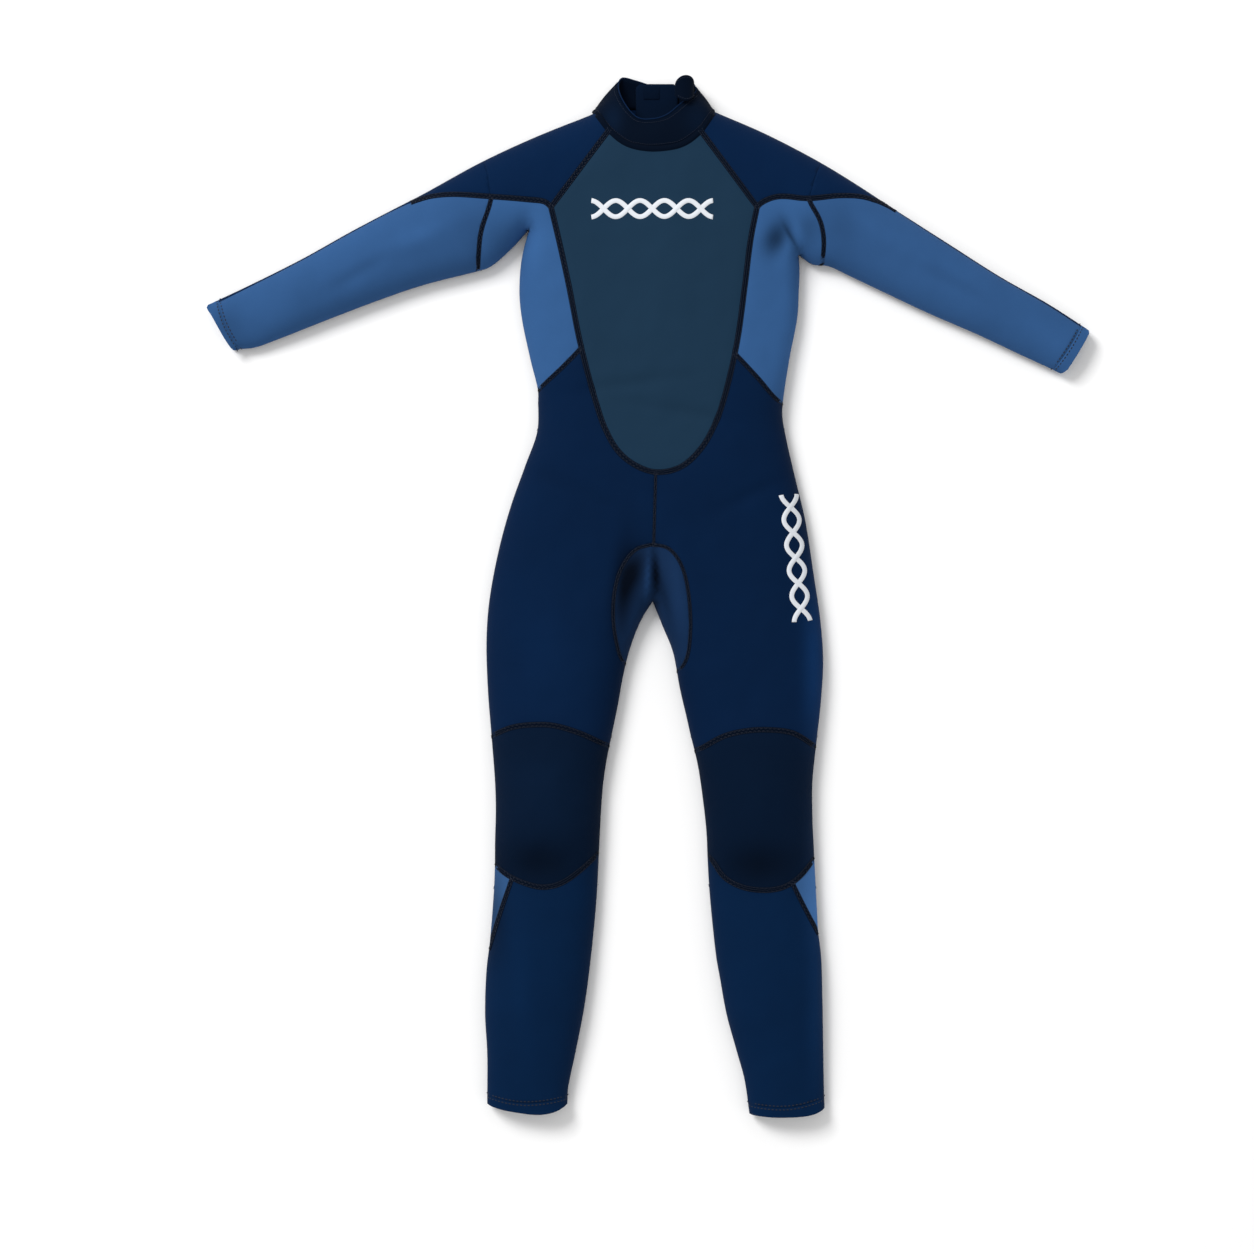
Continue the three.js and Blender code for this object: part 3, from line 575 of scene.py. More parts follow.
class Stitcher:
    """Geometry Nodes that lay one small shape after another along lines."""

    SIZES = ("Spacing", "Length", "Width", "Height")

    def __init__(self) -> None:
        """Builds the two trees: rounded stitches and zip teeth."""
        self.thread = self._tree("stitch_rows", tooth=False)
        self.tooth = self._tree("tooth_rows", tooth=True)

    def _tree(self, name: str, tooth: bool) -> bpy.types.NodeTree:
        """Builds a tree with named inputs for its sizes.

        Args:
            name: the tree's name.
            tooth: lays boxes for zip teeth and not rounded stitches.

        Returns:
            The tree.
        """
        tree = bpy.data.node_groups.new(name, "GeometryNodeTree")
        face = tree.interface
        face.new_socket("Geometry", in_out="INPUT", socket_type="NodeSocketGeometry")
        for label in self.SIZES:
            face.new_socket(label, in_out="INPUT", socket_type="NodeSocketFloat")
        face.new_socket("Finish", in_out="INPUT", socket_type="NodeSocketMaterial")
        face.new_socket("Geometry", in_out="OUTPUT", socket_type="NodeSocketGeometry")
        nodes, links = tree.nodes, tree.links
        start, end = nodes.new("NodeGroupInput"), nodes.new("NodeGroupOutput")
        curve = nodes.new("GeometryNodeMeshToCurve")
        spots = nodes.new("GeometryNodeCurveToPoints")
        spots.mode = "LENGTH"
        shape = nodes.new("GeometryNodeMeshCube" if tooth else "GeometryNodeMeshIcoSphere")
        size = nodes.new("ShaderNodeCombineXYZ")
        lay = nodes.new("GeometryNodeInstanceOnPoints")
        real = nodes.new("GeometryNodeRealizeInstances")
        dress = nodes.new("GeometryNodeSetMaterial")
        if tooth:
            shape.inputs["Size"].default_value = (1, 1, 1)
        else:
            shape.inputs["Radius"].default_value = 0.5
            shape.inputs["Subdivisions"].default_value = 1
        for a, b in (
            (start.outputs["Geometry"], curve.inputs[0]),
            (curve.outputs[0], spots.inputs["Curve"]),
            (start.outputs["Spacing"], spots.inputs["Length"]),
            (spots.outputs["Points"], lay.inputs["Points"]),
            (spots.outputs["Rotation"], lay.inputs["Rotation"]),
            (shape.outputs["Mesh"], lay.inputs["Instance"]),
            (start.outputs["Width"], size.inputs["X"]),
            (start.outputs["Height"], size.inputs["Y"]),
            (start.outputs["Length"], size.inputs["Z"]),
            (size.outputs[0], lay.inputs["Scale"]),
            (lay.outputs[0], real.inputs[0]),
            (real.outputs[0], dress.inputs["Geometry"]),
            (start.outputs["Finish"], dress.inputs["Material"]),
            (dress.outputs[0], end.inputs[0]),
        ):
            links.new(a, b)
        return tree

    def lay(
        self,
        name: str,
        lines: Iterable[np.ndarray],
        finish: bpy.types.Material,
        sizes: Stitch,
        tooth: bool = False,
    ) -> bpy.types.Object:
        """Lays stitches or teeth along lines and makes them one plain mesh.

        Args:
            name: the piece's name.
            lines: each line's points, in place.
            finish: the thread's or teeth's material.
            sizes: spacing, length, width and height, in metres.
            tooth: lays zip teeth.

        Returns:
            The plain object.
        """
        points, edges = [], []
        for line in lines:
            first = sum(len(row) for row in points)
            points.append(line)
            edges.extend((first + i, first + i + 1) for i in range(len(line) - 1))
        guide = bpy.data.meshes.new(name + "_guide")
        guide.from_pydata(np.vstack(points).tolist(), edges, [])
        made = bpy.data.objects.new(name, guide)
        bpy.context.collection.objects.link(made)
        tree = self.tooth if tooth else self.thread
        modifier = made.modifiers.new("rows", "NODES")
        modifier.node_group = tree
        values = dict(zip(self.SIZES, sizes)) | {"Finish": finish}
        for item in tree.interface.items_tree:
            if item.in_out == "INPUT" and item.name in values:
                modifier[item.identifier] = values[item.name]
        laid = made.evaluated_get(bpy.context.evaluated_depsgraph_get())
        mesh = bpy.data.meshes.new_from_object(laid)
        made.modifiers.clear()
        made.data = mesh
        # Stitches and teeth get an even colour level, with no painted shade or highlights.
        if "tone" not in mesh.attributes:
            level = np.ones(len(mesh.vertices), np.float32)
            mesh.attributes.new("tone", "FLOAT", "POINT").data.foreach_set("value", level)
        if "flat" not in mesh.uv_layers:
            corners = np.empty(len(mesh.loops), np.int32)
            mesh.loops.foreach_get("vertex_index", corners)
            places = np.array([vert.co[:2] for vert in mesh.vertices])
            mesh.uv_layers.new(name="flat").data.foreach_set("uv", places[corners].astype(np.float32).ravel())
        mesh.materials.clear()
        mesh.materials.append(finish)
        return made


# ---- The suit in plan ----


class Layer(Enum):
    """The half of the suit that faces up, and the half that it lies on."""

    FRONT = 1
    BACK = -1


def suit_origin(gusset_rise: float = 0.078) -> np.ndarray:
    """The crotch on the suit's midline, under the top of the gusset's box by the gusset's rise."""
    low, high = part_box("crotch_gusset")
    return np.array([(low.x + high.x) / 2, high.y - gusset_rise])


ORIGIN = suit_origin()


def plan(*points: Point) -> Path:
    """Makes a path in the finished frame from millimetres measured from the crotch."""
    return np.array(points, float) * MM + ORIGIN


@dataclass(frozen=True)
class Seam:
    """A visible seam: its line, the layer that it is in and what it moves with."""

    line: Path
    layer: Layer
    group: str
    width: float = 0.0085
    taped: bool = True  # covered by a band with stitches


@dataclass(frozen=True)
class Crease:
    """A soft hollow (negative) or swell in a layer, with painted shade (negative) or painted highlight
    (positive) in its colour.
    """

    centre: Point
    radii: Point
    turn: float
    rise: float
    tone: float = 0.0


@dataclass(frozen=True)
class SuitPlan:
    """The suit's outline and seams, on the wearer's right (-X) and left (+X)."""

    shoulder_right: Line = (
        (-84, 680), (-162, 649), (-240, 613), (-322, 568), (-365, 546), (-422, 516), (-490, 478),
        (-564, 441), (-617, 416),
    )
    cuff_right: Line = ((-617, 416), (-622, 410), (-614, 396), (-592, 358), (-586, 351), (-578, 352))
    underarm_right: Line = (
        (-578, 352), (-557, 354), (-523, 366), (-457, 392), (-389, 418), (-322, 441), (-244, 461),
        (-229, 466), (-200, 490), (-174, 518),
    )
    side_right: Line = (
        (-174, 518), (-184, 477), (-187, 432), (-184, 397), (-172, 339), (-161, 293), (-161, 279),
        (-162, 238), (-179, 189), (-199, 133), (-216, 71), (-229, 1), (-233, -54), (-231, -124),
        (-226, -188), (-221, -254), (-220, -293), (-221, -332), (-222, -391), (-228, -472), (-233, -515),
        (-235, -576), (-232, -631), (-232, -701),
    )
    ankle_right: Line = ((-232, -701), (-202, -708), (-158, -713), (-136, -709), (-120, -701))
    inside_right: Line = (
        (-120, -701), (-119, -680), (-109, -631), (-98, -576), (-90, -521), (-83, -457), (-79, -410),
        (-76, -352), (-73, -293), (-70, -254), (-64, -215), (-58, -186), (-49, -142), (-42, -103),
        (-32, -64), (-17, -26), (-1, 0),
    )
    inside_left: Line = (
        (-1, 0), (13, -35), (27, -70), (37, -122), (47, -165), (51, -183), (62, -229), (69, -276),
        (74, -322), (76, -368), (79, -414), (88, -499), (92, -521), (102, -576), (116, -627), (127, -667),
        (134, -715),
    )
    ankle_left: Line = ((134, -715), (176, -717), (220, -714), (239, -707))
    side_left: Line = (
        (239, -707), (238, -676), (236, -554), (234, -494), (230, -460), (228, -425), (224, -345),
        (222, -299), (222, -253), (227, -202), (234, -138), (237, -82), (233, -26), (224, 36), (212, 113),
        (199, 168), (186, 224), (180, 259), (181, 279), (190, 339), (201, 397), (203, 432), (204, 460),
        (203, 483),
    )
    underarm_left: Line = (
        (203, 483), (222, 470), (243, 468), (276, 453), (316, 434), (384, 402), (451, 373), (519, 341),
        (554, 325), (568, 318),
    )
    cuff_left: Line = ((568, 318), (574, 320), (580, 328), (604, 368), (607, 375), (604, 381))
    shoulder_left: Line = (
        (604, 381), (553, 414), (484, 453), (418, 495), (357, 534), (323, 556), (283, 582), (232, 613),
        (155, 653), (83, 684),
    )
    nape: Line = ((83, 684), (40, 687), (-40, 686), (-84, 680))

    neck: Line = (
        (-92, 690), (-80, 678), (-61, 652), (-37, 633), (-2, 626), (40, 633), (65, 652), (81, 676),
        (92, 692),
    )
    chest: Line = (
        (-142, 545), (-131, 499), (-117, 435), (-102, 359), (-81, 279), (-67, 238), (-49, 207), (-26, 188),
        (3, 178), (37, 185), (65, 210), (85, 245), (97, 279), (115, 356), (126, 435), (134, 499), (143, 545),
    )
    centre_front: Line = ((3, 182), (0, 73))
    gusset_right: Line = (
        (-2, 78), (-24, 72), (-44, 47), (-54, 14), (-56, -25), (-51, -60), (-43, -84), (-30, -90),
    )
    gusset_left: Line = (
        (-2, 78), (19, 74), (34, 58), (44, 33), (50, -6), (51, -44), (46, -80), (36, -96), (26, -98),
    )
    raglan_right: Line = ((-57, 658), (-142, 545))
    raglan_left: Line = ((60, 658), (143, 545))
    over_arm_right: Line = (
        (-142, 545), (-149, 552), (-177, 556), (-225, 560), (-288, 564), (-321, 560), (-363, 543.5),
        (-421, 513), (-489, 475), (-561, 438.5), (-608, 415),
    )
    over_arm_left: Line = (
        (143, 545), (149, 551), (168, 559), (183, 560), (212, 557), (262, 562), (293, 561), (325, 551.5),
        (358, 530.5), (417, 492), (483, 450.5), (551.5, 411), (598, 381),
    )
    arm_top_right: Line = ((-238, 624), (-230, 590), (-225, 557))
    arm_top_left: Line = ((238, 620), (225, 590), (215, 555))
    arm_seam_right: Line = ((-224, 562), (-227, 548), (-239, 512), (-243, 480), (-245, 452))
    arm_seam_left: Line = ((213, 560), (218, 549), (231, 525), (236, 499), (234, 460))
    side_low_right: Line = ((-95, 355), (-128, 322), (-170, 286))
    side_low_left: Line = ((107, 348), (145, 308), (170, 281), (190, 270))
    knee_top_right: Line = (
        (-238, -194), (-226, -188), (-197, -175), (-167, -171), (-138, -172), (-99, -184), (-70, -198),
        (-52, -206),
    )
    knee_low_right: Line = (
        (-232, -358), (-221, -367), (-201, -381), (-177, -391), (-154, -396), (-129, -391), (-103, -374),
        (-81, -355), (-70, -346),
    )
    knee_top_left: Line = (
        (52, -211), (67, -204), (97, -187), (131, -179), (161, -178), (194, -183), (226, -203), (240, -212),
    )
    knee_low_left: Line = (
        (66, -348), (81, -359), (97, -382), (120, -395), (149, -400), (177, -397), (199, -385), (224, -359),
        (236, -348),
    )
    calf_right: Line = ((-194, -378), (-212, -430), (-236, -506))
    calf_left: Line = ((189, -384), (212, -430), (236, -474))
    hem_right_wrist: Line = ((-609, 428), (-596, 386), (-573, 344))
    hem_left_wrist: Line = ((601, 392), (578, 352), (553, 316))
    hem_right_ankle: Line = ((-244, -686), (-180, -697), (-112, -690))
    hem_left_ankle: Line = ((122, -700), (187, -703), (248, -690))
    yoke_right: Line = ((4, 211), (-88, 236), (-190, 242))
    yoke_left: Line = ((-4, 211), (92, 236), (200, 242))

    blade_right: Line = ((-50, 700), (-146, 549), (-218, 500), (-246, 450))
    blade_left: Line = ((50, 700), (146, 549), (215, 500), (238, 450))
    knee_back_right: Line = ((-240, -190), (-45, -190))
    knee_back_left: Line = ((45, -190), (245, -190))
    calf_back_right: Line = ((-235, -398), (-65, -398))
    calf_back_left: Line = ((65, -398), (240, -398))
    centre_back: Line = ((-2, 77), (0, 229))
    zip_slot: Line = ((-24, 700), (-24, 228), (24, 228), (24, 700))

    def line(self, name: str) -> Path:
        """One of the plan's lines, in the finished frame."""
        return plan(*getattr(self, name))

    def curve(self, name: str) -> Path:
        """One of the plan's lines as a smooth curve."""
        return smooth(self.line(name))

    def outline(self) -> tuple[Path, np.ndarray]:
        """Joins the edges into one closed outline.

        Returns:
            The outline's points, and for each point whether the front and back layers join there.
        """
        edges = (
            ("nape", False), ("shoulder_left", True), ("cuff_left", False), ("underarm_left", True),
            ("side_left", True), ("ankle_left", False), ("inside_left", True), ("inside_right", True),
            ("ankle_right", False), ("side_right", True), ("underarm_right", True), ("cuff_right", False),
            ("shoulder_right", True),
        )
        rows, closed = [], []
        for name, shut in edges:
            rows.append(smooth(self.line(name)[::-1], EDGE_STEP)[:-1])
            closed.append(np.full(len(rows[-1]), shut))
        shut = np.concatenate(closed)
        # A corner where an open edge starts still belongs to the closed edge that ends there.
        return np.vstack(rows), shut | np.roll(shut, 1)

    def seams(self) -> list[Seam]:
        """Every sewn seam that parts two panels, with what it moves with."""
        front, back = Layer.FRONT, Layer.BACK
        torso = (
            ("chest", front, 0.0085), ("centre_front", front, 0.0044), ("gusset_right", front, 0.0054),
            ("gusset_left", front, 0.0054), ("gusset_right", back, 0.007), ("gusset_left", back, 0.007),
            ("centre_back", back, 0.006),
        )
        seams = [Seam(self.curve(name), layer, "torso", width) for name, layer, width in torso]
        for word in (side.word for side in Side):
            arm, leg = f"{word}_arm", f"{word}_leg"
            over_arm = self.curve(f"over_arm_{word}")
            elbow = len(over_arm) * 2 // 5  # the seam has no band from here to the cuff
            seams += [
                Seam(self.curve(f"raglan_{word}"), front, "torso"),
                Seam(self.curve(f"side_low_{word}"), front, "torso", 0.007),
                Seam(self.curve(f"yoke_{word}"), back, "torso", 0.007),
                Seam(over_arm[: elbow + 1], front, arm),
                Seam(over_arm[elbow:], front, arm, taped=False),
                Seam(self.curve(f"arm_seam_{word}"), front, arm, 0.007),
                Seam(self.curve(f"blade_{word}"), back, arm, 0.007),
                Seam(self.curve(f"knee_top_{word}"), front, "torso"),
                Seam(self.curve(f"knee_back_{word}"), back, "torso", 0.007),
                Seam(self.curve(f"knee_low_{word}"), front, leg),
                Seam(self.curve(f"calf_{word}"), front, leg, 0.007),
                Seam(self.curve(f"calf_back_{word}"), back, leg, 0.007),
            ]
        return seams

    def hems(self) -> dict[str, Path]:
        """The stitched line of each hem, by the word that starts its node's name."""
        words = ("right_wrist", "left_wrist", "right_ankle", "left_ankle")
        return {word: self.curve(f"hem_{word}") for word in words}

    def cuts(self, layer: Layer) -> list[Path]:
        """Gathers the lines that part the panels of a layer.

        Args:
            layer: the layer.

        Returns:
            The lines, some of which run on past the outline.
        """
        lines = [seam.line for seam in self.seams() if seam.layer is layer] + list(self.hems().values())
        tops = [(self.line(f"arm_top_{side.word}"), self.line(f"arm_seam_{side.word}")) for side in Side]
        if layer is Layer.FRONT:
            return lines + [smooth(top) for top, _ in tops] + [self.curve("neck")]
        # On the back the arm's top seam and its underarm seam are one line.
        lines += [smooth(np.vstack([top[:-1], seam])) for top, seam in tops]
        slot = self.line("zip_slot")
        return lines + [resample(slot[i : i + 2], 0.006) for i in range(3)]


# Columns: centre, spread, turn, rise, then painted shade (below 0) or painted highlight (above 0); rows with
# no rise only paint light.
CREASES_AND_PAINTED_LIGHT = (
    # The armpits and sides.
    Crease((172, 501), (14, 24), -24, -0.012, -0.66),
    Crease((193, 499), (3.2, 26), 25, -0.006, -0.55),
    Crease((204, 506), (7, 24), 25, 0.003, 0.10),
    Crease((190, 440), (14, 60), 0, 0.002, 0.16),
    Crease((178, 350), (20, 60), -8, 0.0, 0.18),
    Crease((-184, 512), (10, 36), -28, -0.004, 0.08),
    Crease((-165, 500), (16, 34), 0, 0.003, 0.10),
    Crease((-215, 505), (18, 22), 0, 0.0, -0.12),
    Crease((214, 520), (16, 20), 0, 0.002, -0.25),
    # The crotch gusset.
    Crease((3, 32), (5.0, 33), 3, -0.008, -0.88),
    Crease((-8, 31), (3.6, 30), -4, 0.004, 0.75),
    Crease((-42, 18), (14, 62), -4, -0.002, -0.78),
    Crease((-24, 42), (13, 34), -12, -0.001, -0.66),
    Crease((-30, -34), (7, 34), -20, 0.002, 0.25),
    Crease((14, 12), (5, 44), 14, -0.002, -0.36),
    Crease((34, 16), (12, 50), 5, 0.003, 0.30),
    # The knees.
    Crease((-148, -262), (52, 62), 0, 0.006, 0.25),
    Crease((148, -268), (52, 62), 0, 0.006, 0.0),
    Crease((-158, -360), (48, 30), 0, -0.004, -0.45),
    Crease((146, -366), (50, 30), 0, -0.004, -0.45),
    Crease((222, -330), (12, 60), 0, 0.0, 0.6),
    # The sleeves.
    Crease((-330, 500), (60, 14), 24, 0.004, 0.06),
    Crease((-252, 505), (26, 40), 0, 0.0, -0.12),
    Crease((-410, 455), (50, 9), 30, -0.003, -0.10),
    Crease((-590, 382), (22, 26), 0, 0.0, -0.18),
    Crease((330, 500), (60, 16), -30, 0.004, 0.06),
    Crease((262, 520), (22, 36), 0, 0.0, -0.15),
    Crease((420, 440), (46, 9), -28, -0.003, -0.10),
    Crease((545, 372), (50, 20), -28, 0.0, 0.12),
    # The chest, waist and legs.
    Crease((-40, 300), (90, 10), 8, -0.0025, -0.04),
    Crease((40, 262), (90, 9), -10, -0.002, -0.04),
    Crease((0, 420), (60, 160), 0, 0.003, 0.03),
    Crease((-120, 160), (70, 10), -24, -0.0025, -0.05),
    Crease((140, 150), (60, 10), 26, -0.0025, -0.05),
    Crease((-150, -70), (50, 90), 0, 0.0, 0.22),
    Crease((226, -90), (17, 130), 0, 0.0, 1.5),
    Crease((228, -560), (14, 110), 0, 0.0, 0.65),
    Crease((-180, -560), (16, 90), 3, 0.002, 0.12),
    Crease((-224, -430), (18, 60), 0, 0.0, -0.55),
    Crease((226, -430), (18, 60), 0, 0.0, 0.55),
)


# ---- The suit's outer surface ----


def crossings(line: Path, outline: Path, closed: bool = True) -> list[tuple[float, int, float]]:
    """Finds where a line meets an outline.

    Args:
        line: the line.
        outline: the outline.
        closed: joins the outline's end to its start.

    Returns:
        For each meeting: its place along the line, the outline's edge and the share along that edge.
    """
    edges = np.roll(outline, -1, axis=0) - outline
    found = []
    for i, (start, end) in enumerate(zip(line[:-1], line[1:])):
        step, away = end - start, outline - start
        turn = step[0] * edges[:, 1] - step[1] * edges[:, 0]
        turn = np.where(np.abs(turn) < 1e-15, np.inf, turn)  # parallel edges never meet
        t = (away[:, 0] * edges[:, 1] - away[:, 1] * edges[:, 0]) / turn
        s = (away[:, 0] * step[1] - away[:, 1] * step[0]) / turn
        hits = np.flatnonzero((t >= 0) & (t < 1) & (s >= 0) & (s < 1) & np.isfinite(turn))
        hits = hits if closed else hits[hits < len(outline) - 1]
        found.extend((i + float(t[j]), int(j), float(s[j])) for j in hits)
    return sorted(found)


def along(line: Path, place: float) -> np.ndarray:
    """A point of a line at a place given as point number and fraction."""
    i = min(int(place), len(line) - 2)
    return line[i] + (line[i + 1] - line[i]) * (place - i)


def part_of(line: Path, low: float, high: float, margin: float) -> Path:
    """The part of a line between two places, without its points within the margin of them."""
    between = [line[k] for k in range(len(line)) if low + margin < k < high - margin]
    return np.array([along(line, low), *between, along(line, high)])


def trimmed(line: Path, outline: Path) -> list[Path]:
    """Keeps the parts of a line that are inside an outline."""
    shortest, margin = 1e-4, 0.15
    marks = [0.0, *(hit[0] for hit in crossings(line, outline)), len(line) - 1.0]
    return [
        part_of(line, low, high, margin)
        for low, high in zip(marks[:-1], marks[1:])
        if high - low > shortest and inside(along(line, (low + high) / 2)[None], outline)[0]
    ]


def far_from(places: np.ndarray, dots: np.ndarray) -> np.ndarray:
    """Each place's distance to the nearest of many dots."""
    tree = KDTree(len(dots))
    for i, dot in enumerate(dots):
        tree.insert((*dot, 0.0), i)
    tree.balance()
    return np.array([tree.find((*place, 0.0))[2] for place in places])


def swell(
    points: np.ndarray,
    triangles: np.ndarray,
    pinned: np.ndarray,
    reach: float,
    rounds: int = 1200,
    close: float = 1e-8,
) -> np.ndarray:
    """Solves for how a soft tube fills out from its closed edges.

    Args:
        points: the flat mesh.
        triangles: its triangles.
        pinned: points that stay at 0.
        reach: how far from an edge the fullness takes to build up.
        rounds: the most rounds of the solver.
        close: the share of the first error that is small enough.

    Returns:
        The fullness at each point, from 0 at the edges to nearly 1 far inside.
    """
    count = len(points)
    corner = points[triangles]
    rows, cols, weights = [], [], []
    for k in range(3):
        i, j, tip = triangles[:, (k + 1) % 3], triangles[:, (k + 2) % 3], corner[:, k]
        a, b = points[i] - tip, points[j] - tip
        area2 = np.maximum(np.abs(a[:, 0] * b[:, 1] - a[:, 1] * b[:, 0]), TINY)
        weight = 0.5 * (a * b).sum(axis=1) / area2 * reach * reach
        rows += [i, j]
        cols += [j, i]
        weights += [weight, weight]
    rows, cols, weights = np.concatenate(rows), np.concatenate(cols), np.concatenate(weights)
    ab, ac = corner[:, 1] - corner[:, 0], corner[:, 2] - corner[:, 0]
    area = np.abs(ab[:, 0] * ac[:, 1] - ab[:, 1] * ac[:, 0]) / 2
    mass = np.bincount(triangles.ravel(), np.repeat(area / 3, 3), count)
    diagonal = mass + np.bincount(rows, weights, count)
    free = ~pinned

    def apply(values: np.ndarray) -> np.ndarray:
        """Multiplies by the stiffness and mass, with pinned points held."""
        return np.where(free, diagonal * values - np.bincount(rows, weights * values[cols], count), 0.0)

    full = np.zeros(count)
    left = np.where(free, mass, 0.0)
    step = left / diagonal
    energy = left @ step
    target = energy * close
    for _ in range(rounds):
        pushed = apply(step)
        stride = energy / (step @ pushed)
        full += stride * step
        left -= stride * pushed
        eased = left / diagonal
        fresh = left @ eased
        if fresh < target:
            break
        step = eased + step * (fresh / energy)
        energy = fresh
    return np.clip(full, 0, 1)


@dataclass
class SuitSkin:
    """The outer surface of the whole suit, cut into panels that share their edges."""

    plan: SuitPlan = field(default_factory=SuitPlan)
    edge_height: float = 0.012
    fullness: float = 0.0425
    reach: float = 0.030
    roundness: float = 0.60
    back_rounding: float = 0.014
    thickness: float = 0.003
    spacing: float = 0.006
    rings: tuple[float, ...] = (0.0005, 0.0015, 0.0032, 0.0056, 0.0088)
    ring_gap: float = 0.002
    seam_gap: float = 0.0012
    seam_dip: float = 0.0010
    dip_spread: float = 0.006
    ripple: float = 0.0022
    ripple_scales: tuple[tuple[float, float, float, float], ...] = ((14, 14, 3.1, 1.0), (41, 37, 8.2, 0.4))
    floor_gap: float = 0.0012
    # The lowest colour level that painted shade can bring the front layer to.
    darkest: float = 0.12
    flat_ends: tuple[tuple[Point, float, float], ...] = (
        ((-600, 385), 0.13, 0.60), ((590, 350), 0.13, 0.60),
        ((-178, -708), 0.16, 0.72), ((186, -712), 0.16, 0.72),
    )

    def build(self) -> "SuitSkin":
        """Makes both layers and joins them at the closed edges.

        Returns:
            The skin itself.
        """
        self.outline, shut = self._with_crossings(*self.plan.outline())
        self._join({layer: self._layer(layer) for layer in Layer}, shut)
        log.info("skin: %d points, %d triangles", len(self.points), len(self.triangles))
        return self

    def _with_crossings(self, outline: Path, shut: np.ndarray) -> tuple[Path, np.ndarray]:
        """Adds to the outline each point where a seam of either layer meets it.

        Args:
            outline: the outline.
            shut: for each of its points, whether the layers join there.

        Returns:
            The same two with the new points in.
        """
        extra: dict[int, set[float]] = {}
        for layer in Layer:
            for line in self.plan.cuts(layer):
                for _, edge, share in crossings(line, outline):
                    extra.setdefault(edge, set()).add(share)
        rows, flags = [], []
        for i, point in enumerate(outline):
            rows.append(point)
            flags.append(shut[i])
            onward = outline[(i + 1) % len(outline)] - point
            for share in sorted(extra.get(i, ())):
                rows.append(point + onward * share)
                flags.append(shut[i] and shut[(i + 1) % len(outline)])
        return np.array(rows), np.array(flags)

    def _spread(self, seam_dots: np.ndarray) -> np.ndarray:
        """Spreads points over the suit: rings inside the outline, then an even grid, both clear of the seams.

        Args:
            seam_dots: dots along the seams.

        Returns:
            The points, in plan.
        """
        outline = self.outline
        border = resample(np.vstack([outline, outline[:1]]), DOT_STEP)
        low, high = outline.min(axis=0), outline.max(axis=0)
        xs = np.arange(low[0], high[0], self.spacing)
        ys = np.arange(low[1], high[1], self.spacing * 0.866)  # the rows of even triangles
        grid = np.array([(x + (j % 2) * self.spacing / 2, y) for j, y in enumerate(ys) for x in xs])
        grid = grid[inside(grid, outline)]
        grid = grid[far_from(grid, border) > self.rings[-1] + self.ring_gap]
        direction = np.roll(outline, -1, axis=0) - np.roll(outline, 1, axis=0)
        inward = unit(np.stack([-direction[:, 1], direction[:, 0]], axis=1))
        if not inside((outline + inward * DOT_STEP)[5:6], outline)[0]:
            inward = -inward
        for depth in self.rings:
            ring = outline + inward * depth
            ring = ring[inside(ring, outline)]
            keep = far_from(ring, border) > depth * 0.85 if depth > DOT_STEP else np.ones(len(ring), bool)
            grid = np.vstack([grid, ring[keep]])
        return grid[far_from(grid, seam_dots) > self.seam_gap]

    def _layer(self, layer: Layer) -> tuple[np.ndarray, np.ndarray, np.ndarray, np.ndarray]:
        """Triangulates one layer in plan.

        Args:
            layer: the layer.

        Returns:
            Points, triangles, each triangle's panel number and each point's outline number or -1.
        """
        outline = self.outline
        lines = [part for line in self.plan.cuts(layer) for part in trimmed(line, outline)]
        points, edges = list(outline), [(i, (i + 1) % len(outline)) for i in range(len(outline))]
        for line in lines:
            first = len(points)
            points.extend(line)
            edges.extend((first + i, first + i + 1) for i in range(len(line) - 1))
        points.extend(self._spread(np.vstack([resample(line, DOT_STEP) for line in lines])))
        same_spot = 2e-6
        made = delaunay_2d_cdt([Vector(point) for point in points], edges, [], 0, same_spot, True)
        verts, made_edges, made_faces, from_verts, from_edges = made[:5]
        flat = np.array([vert[:] for vert in verts])
        number = np.array([min([i for i in source if i < len(outline)], default=-1) for source in from_verts])
        flat[number >= 0] = outline[number[number >= 0]]
        triangles = np.array([face for face in made_faces if len(face) == 3])
        triangles = triangles[inside(flat[triangles].mean(axis=1), outline)]
        walls = {tuple(sorted(edge)) for edge, source in zip(made_edges, from_edges) if source}
        return flat, triangles, self._regions(triangles, walls), number

    @staticmethod
    def _regions(triangles: np.ndarray, walls: set[tuple[int, int]]) -> np.ndarray:
        """Numbers the triangles by the region that the walls shut them in.

        Args:
            triangles: the triangles.
            walls: the edges that nothing spreads across.

        Returns:
            One number for each triangle, the same all over a region.
        """
        parent = list(range(len(triangles)))

        def root(i: int) -> int:
            """The first triangle of a triangle's group."""
            while parent[i] != i:
                parent[i] = parent[parent[i]]
                i = parent[i]
            return i

        seen: dict[tuple[int, int], int] = {}
        for i, (a, b, c) in enumerate(triangles.tolist()):
            for edge in ((a, b), (b, c), (c, a)):
                key = (min(edge), max(edge))
                if key in walls:
                    continue
                if key in seen:
                    parent[root(i)] = root(seen[key])
                else:
                    seen[key] = i
        return np.array([root(i) for i in range(len(triangles))])

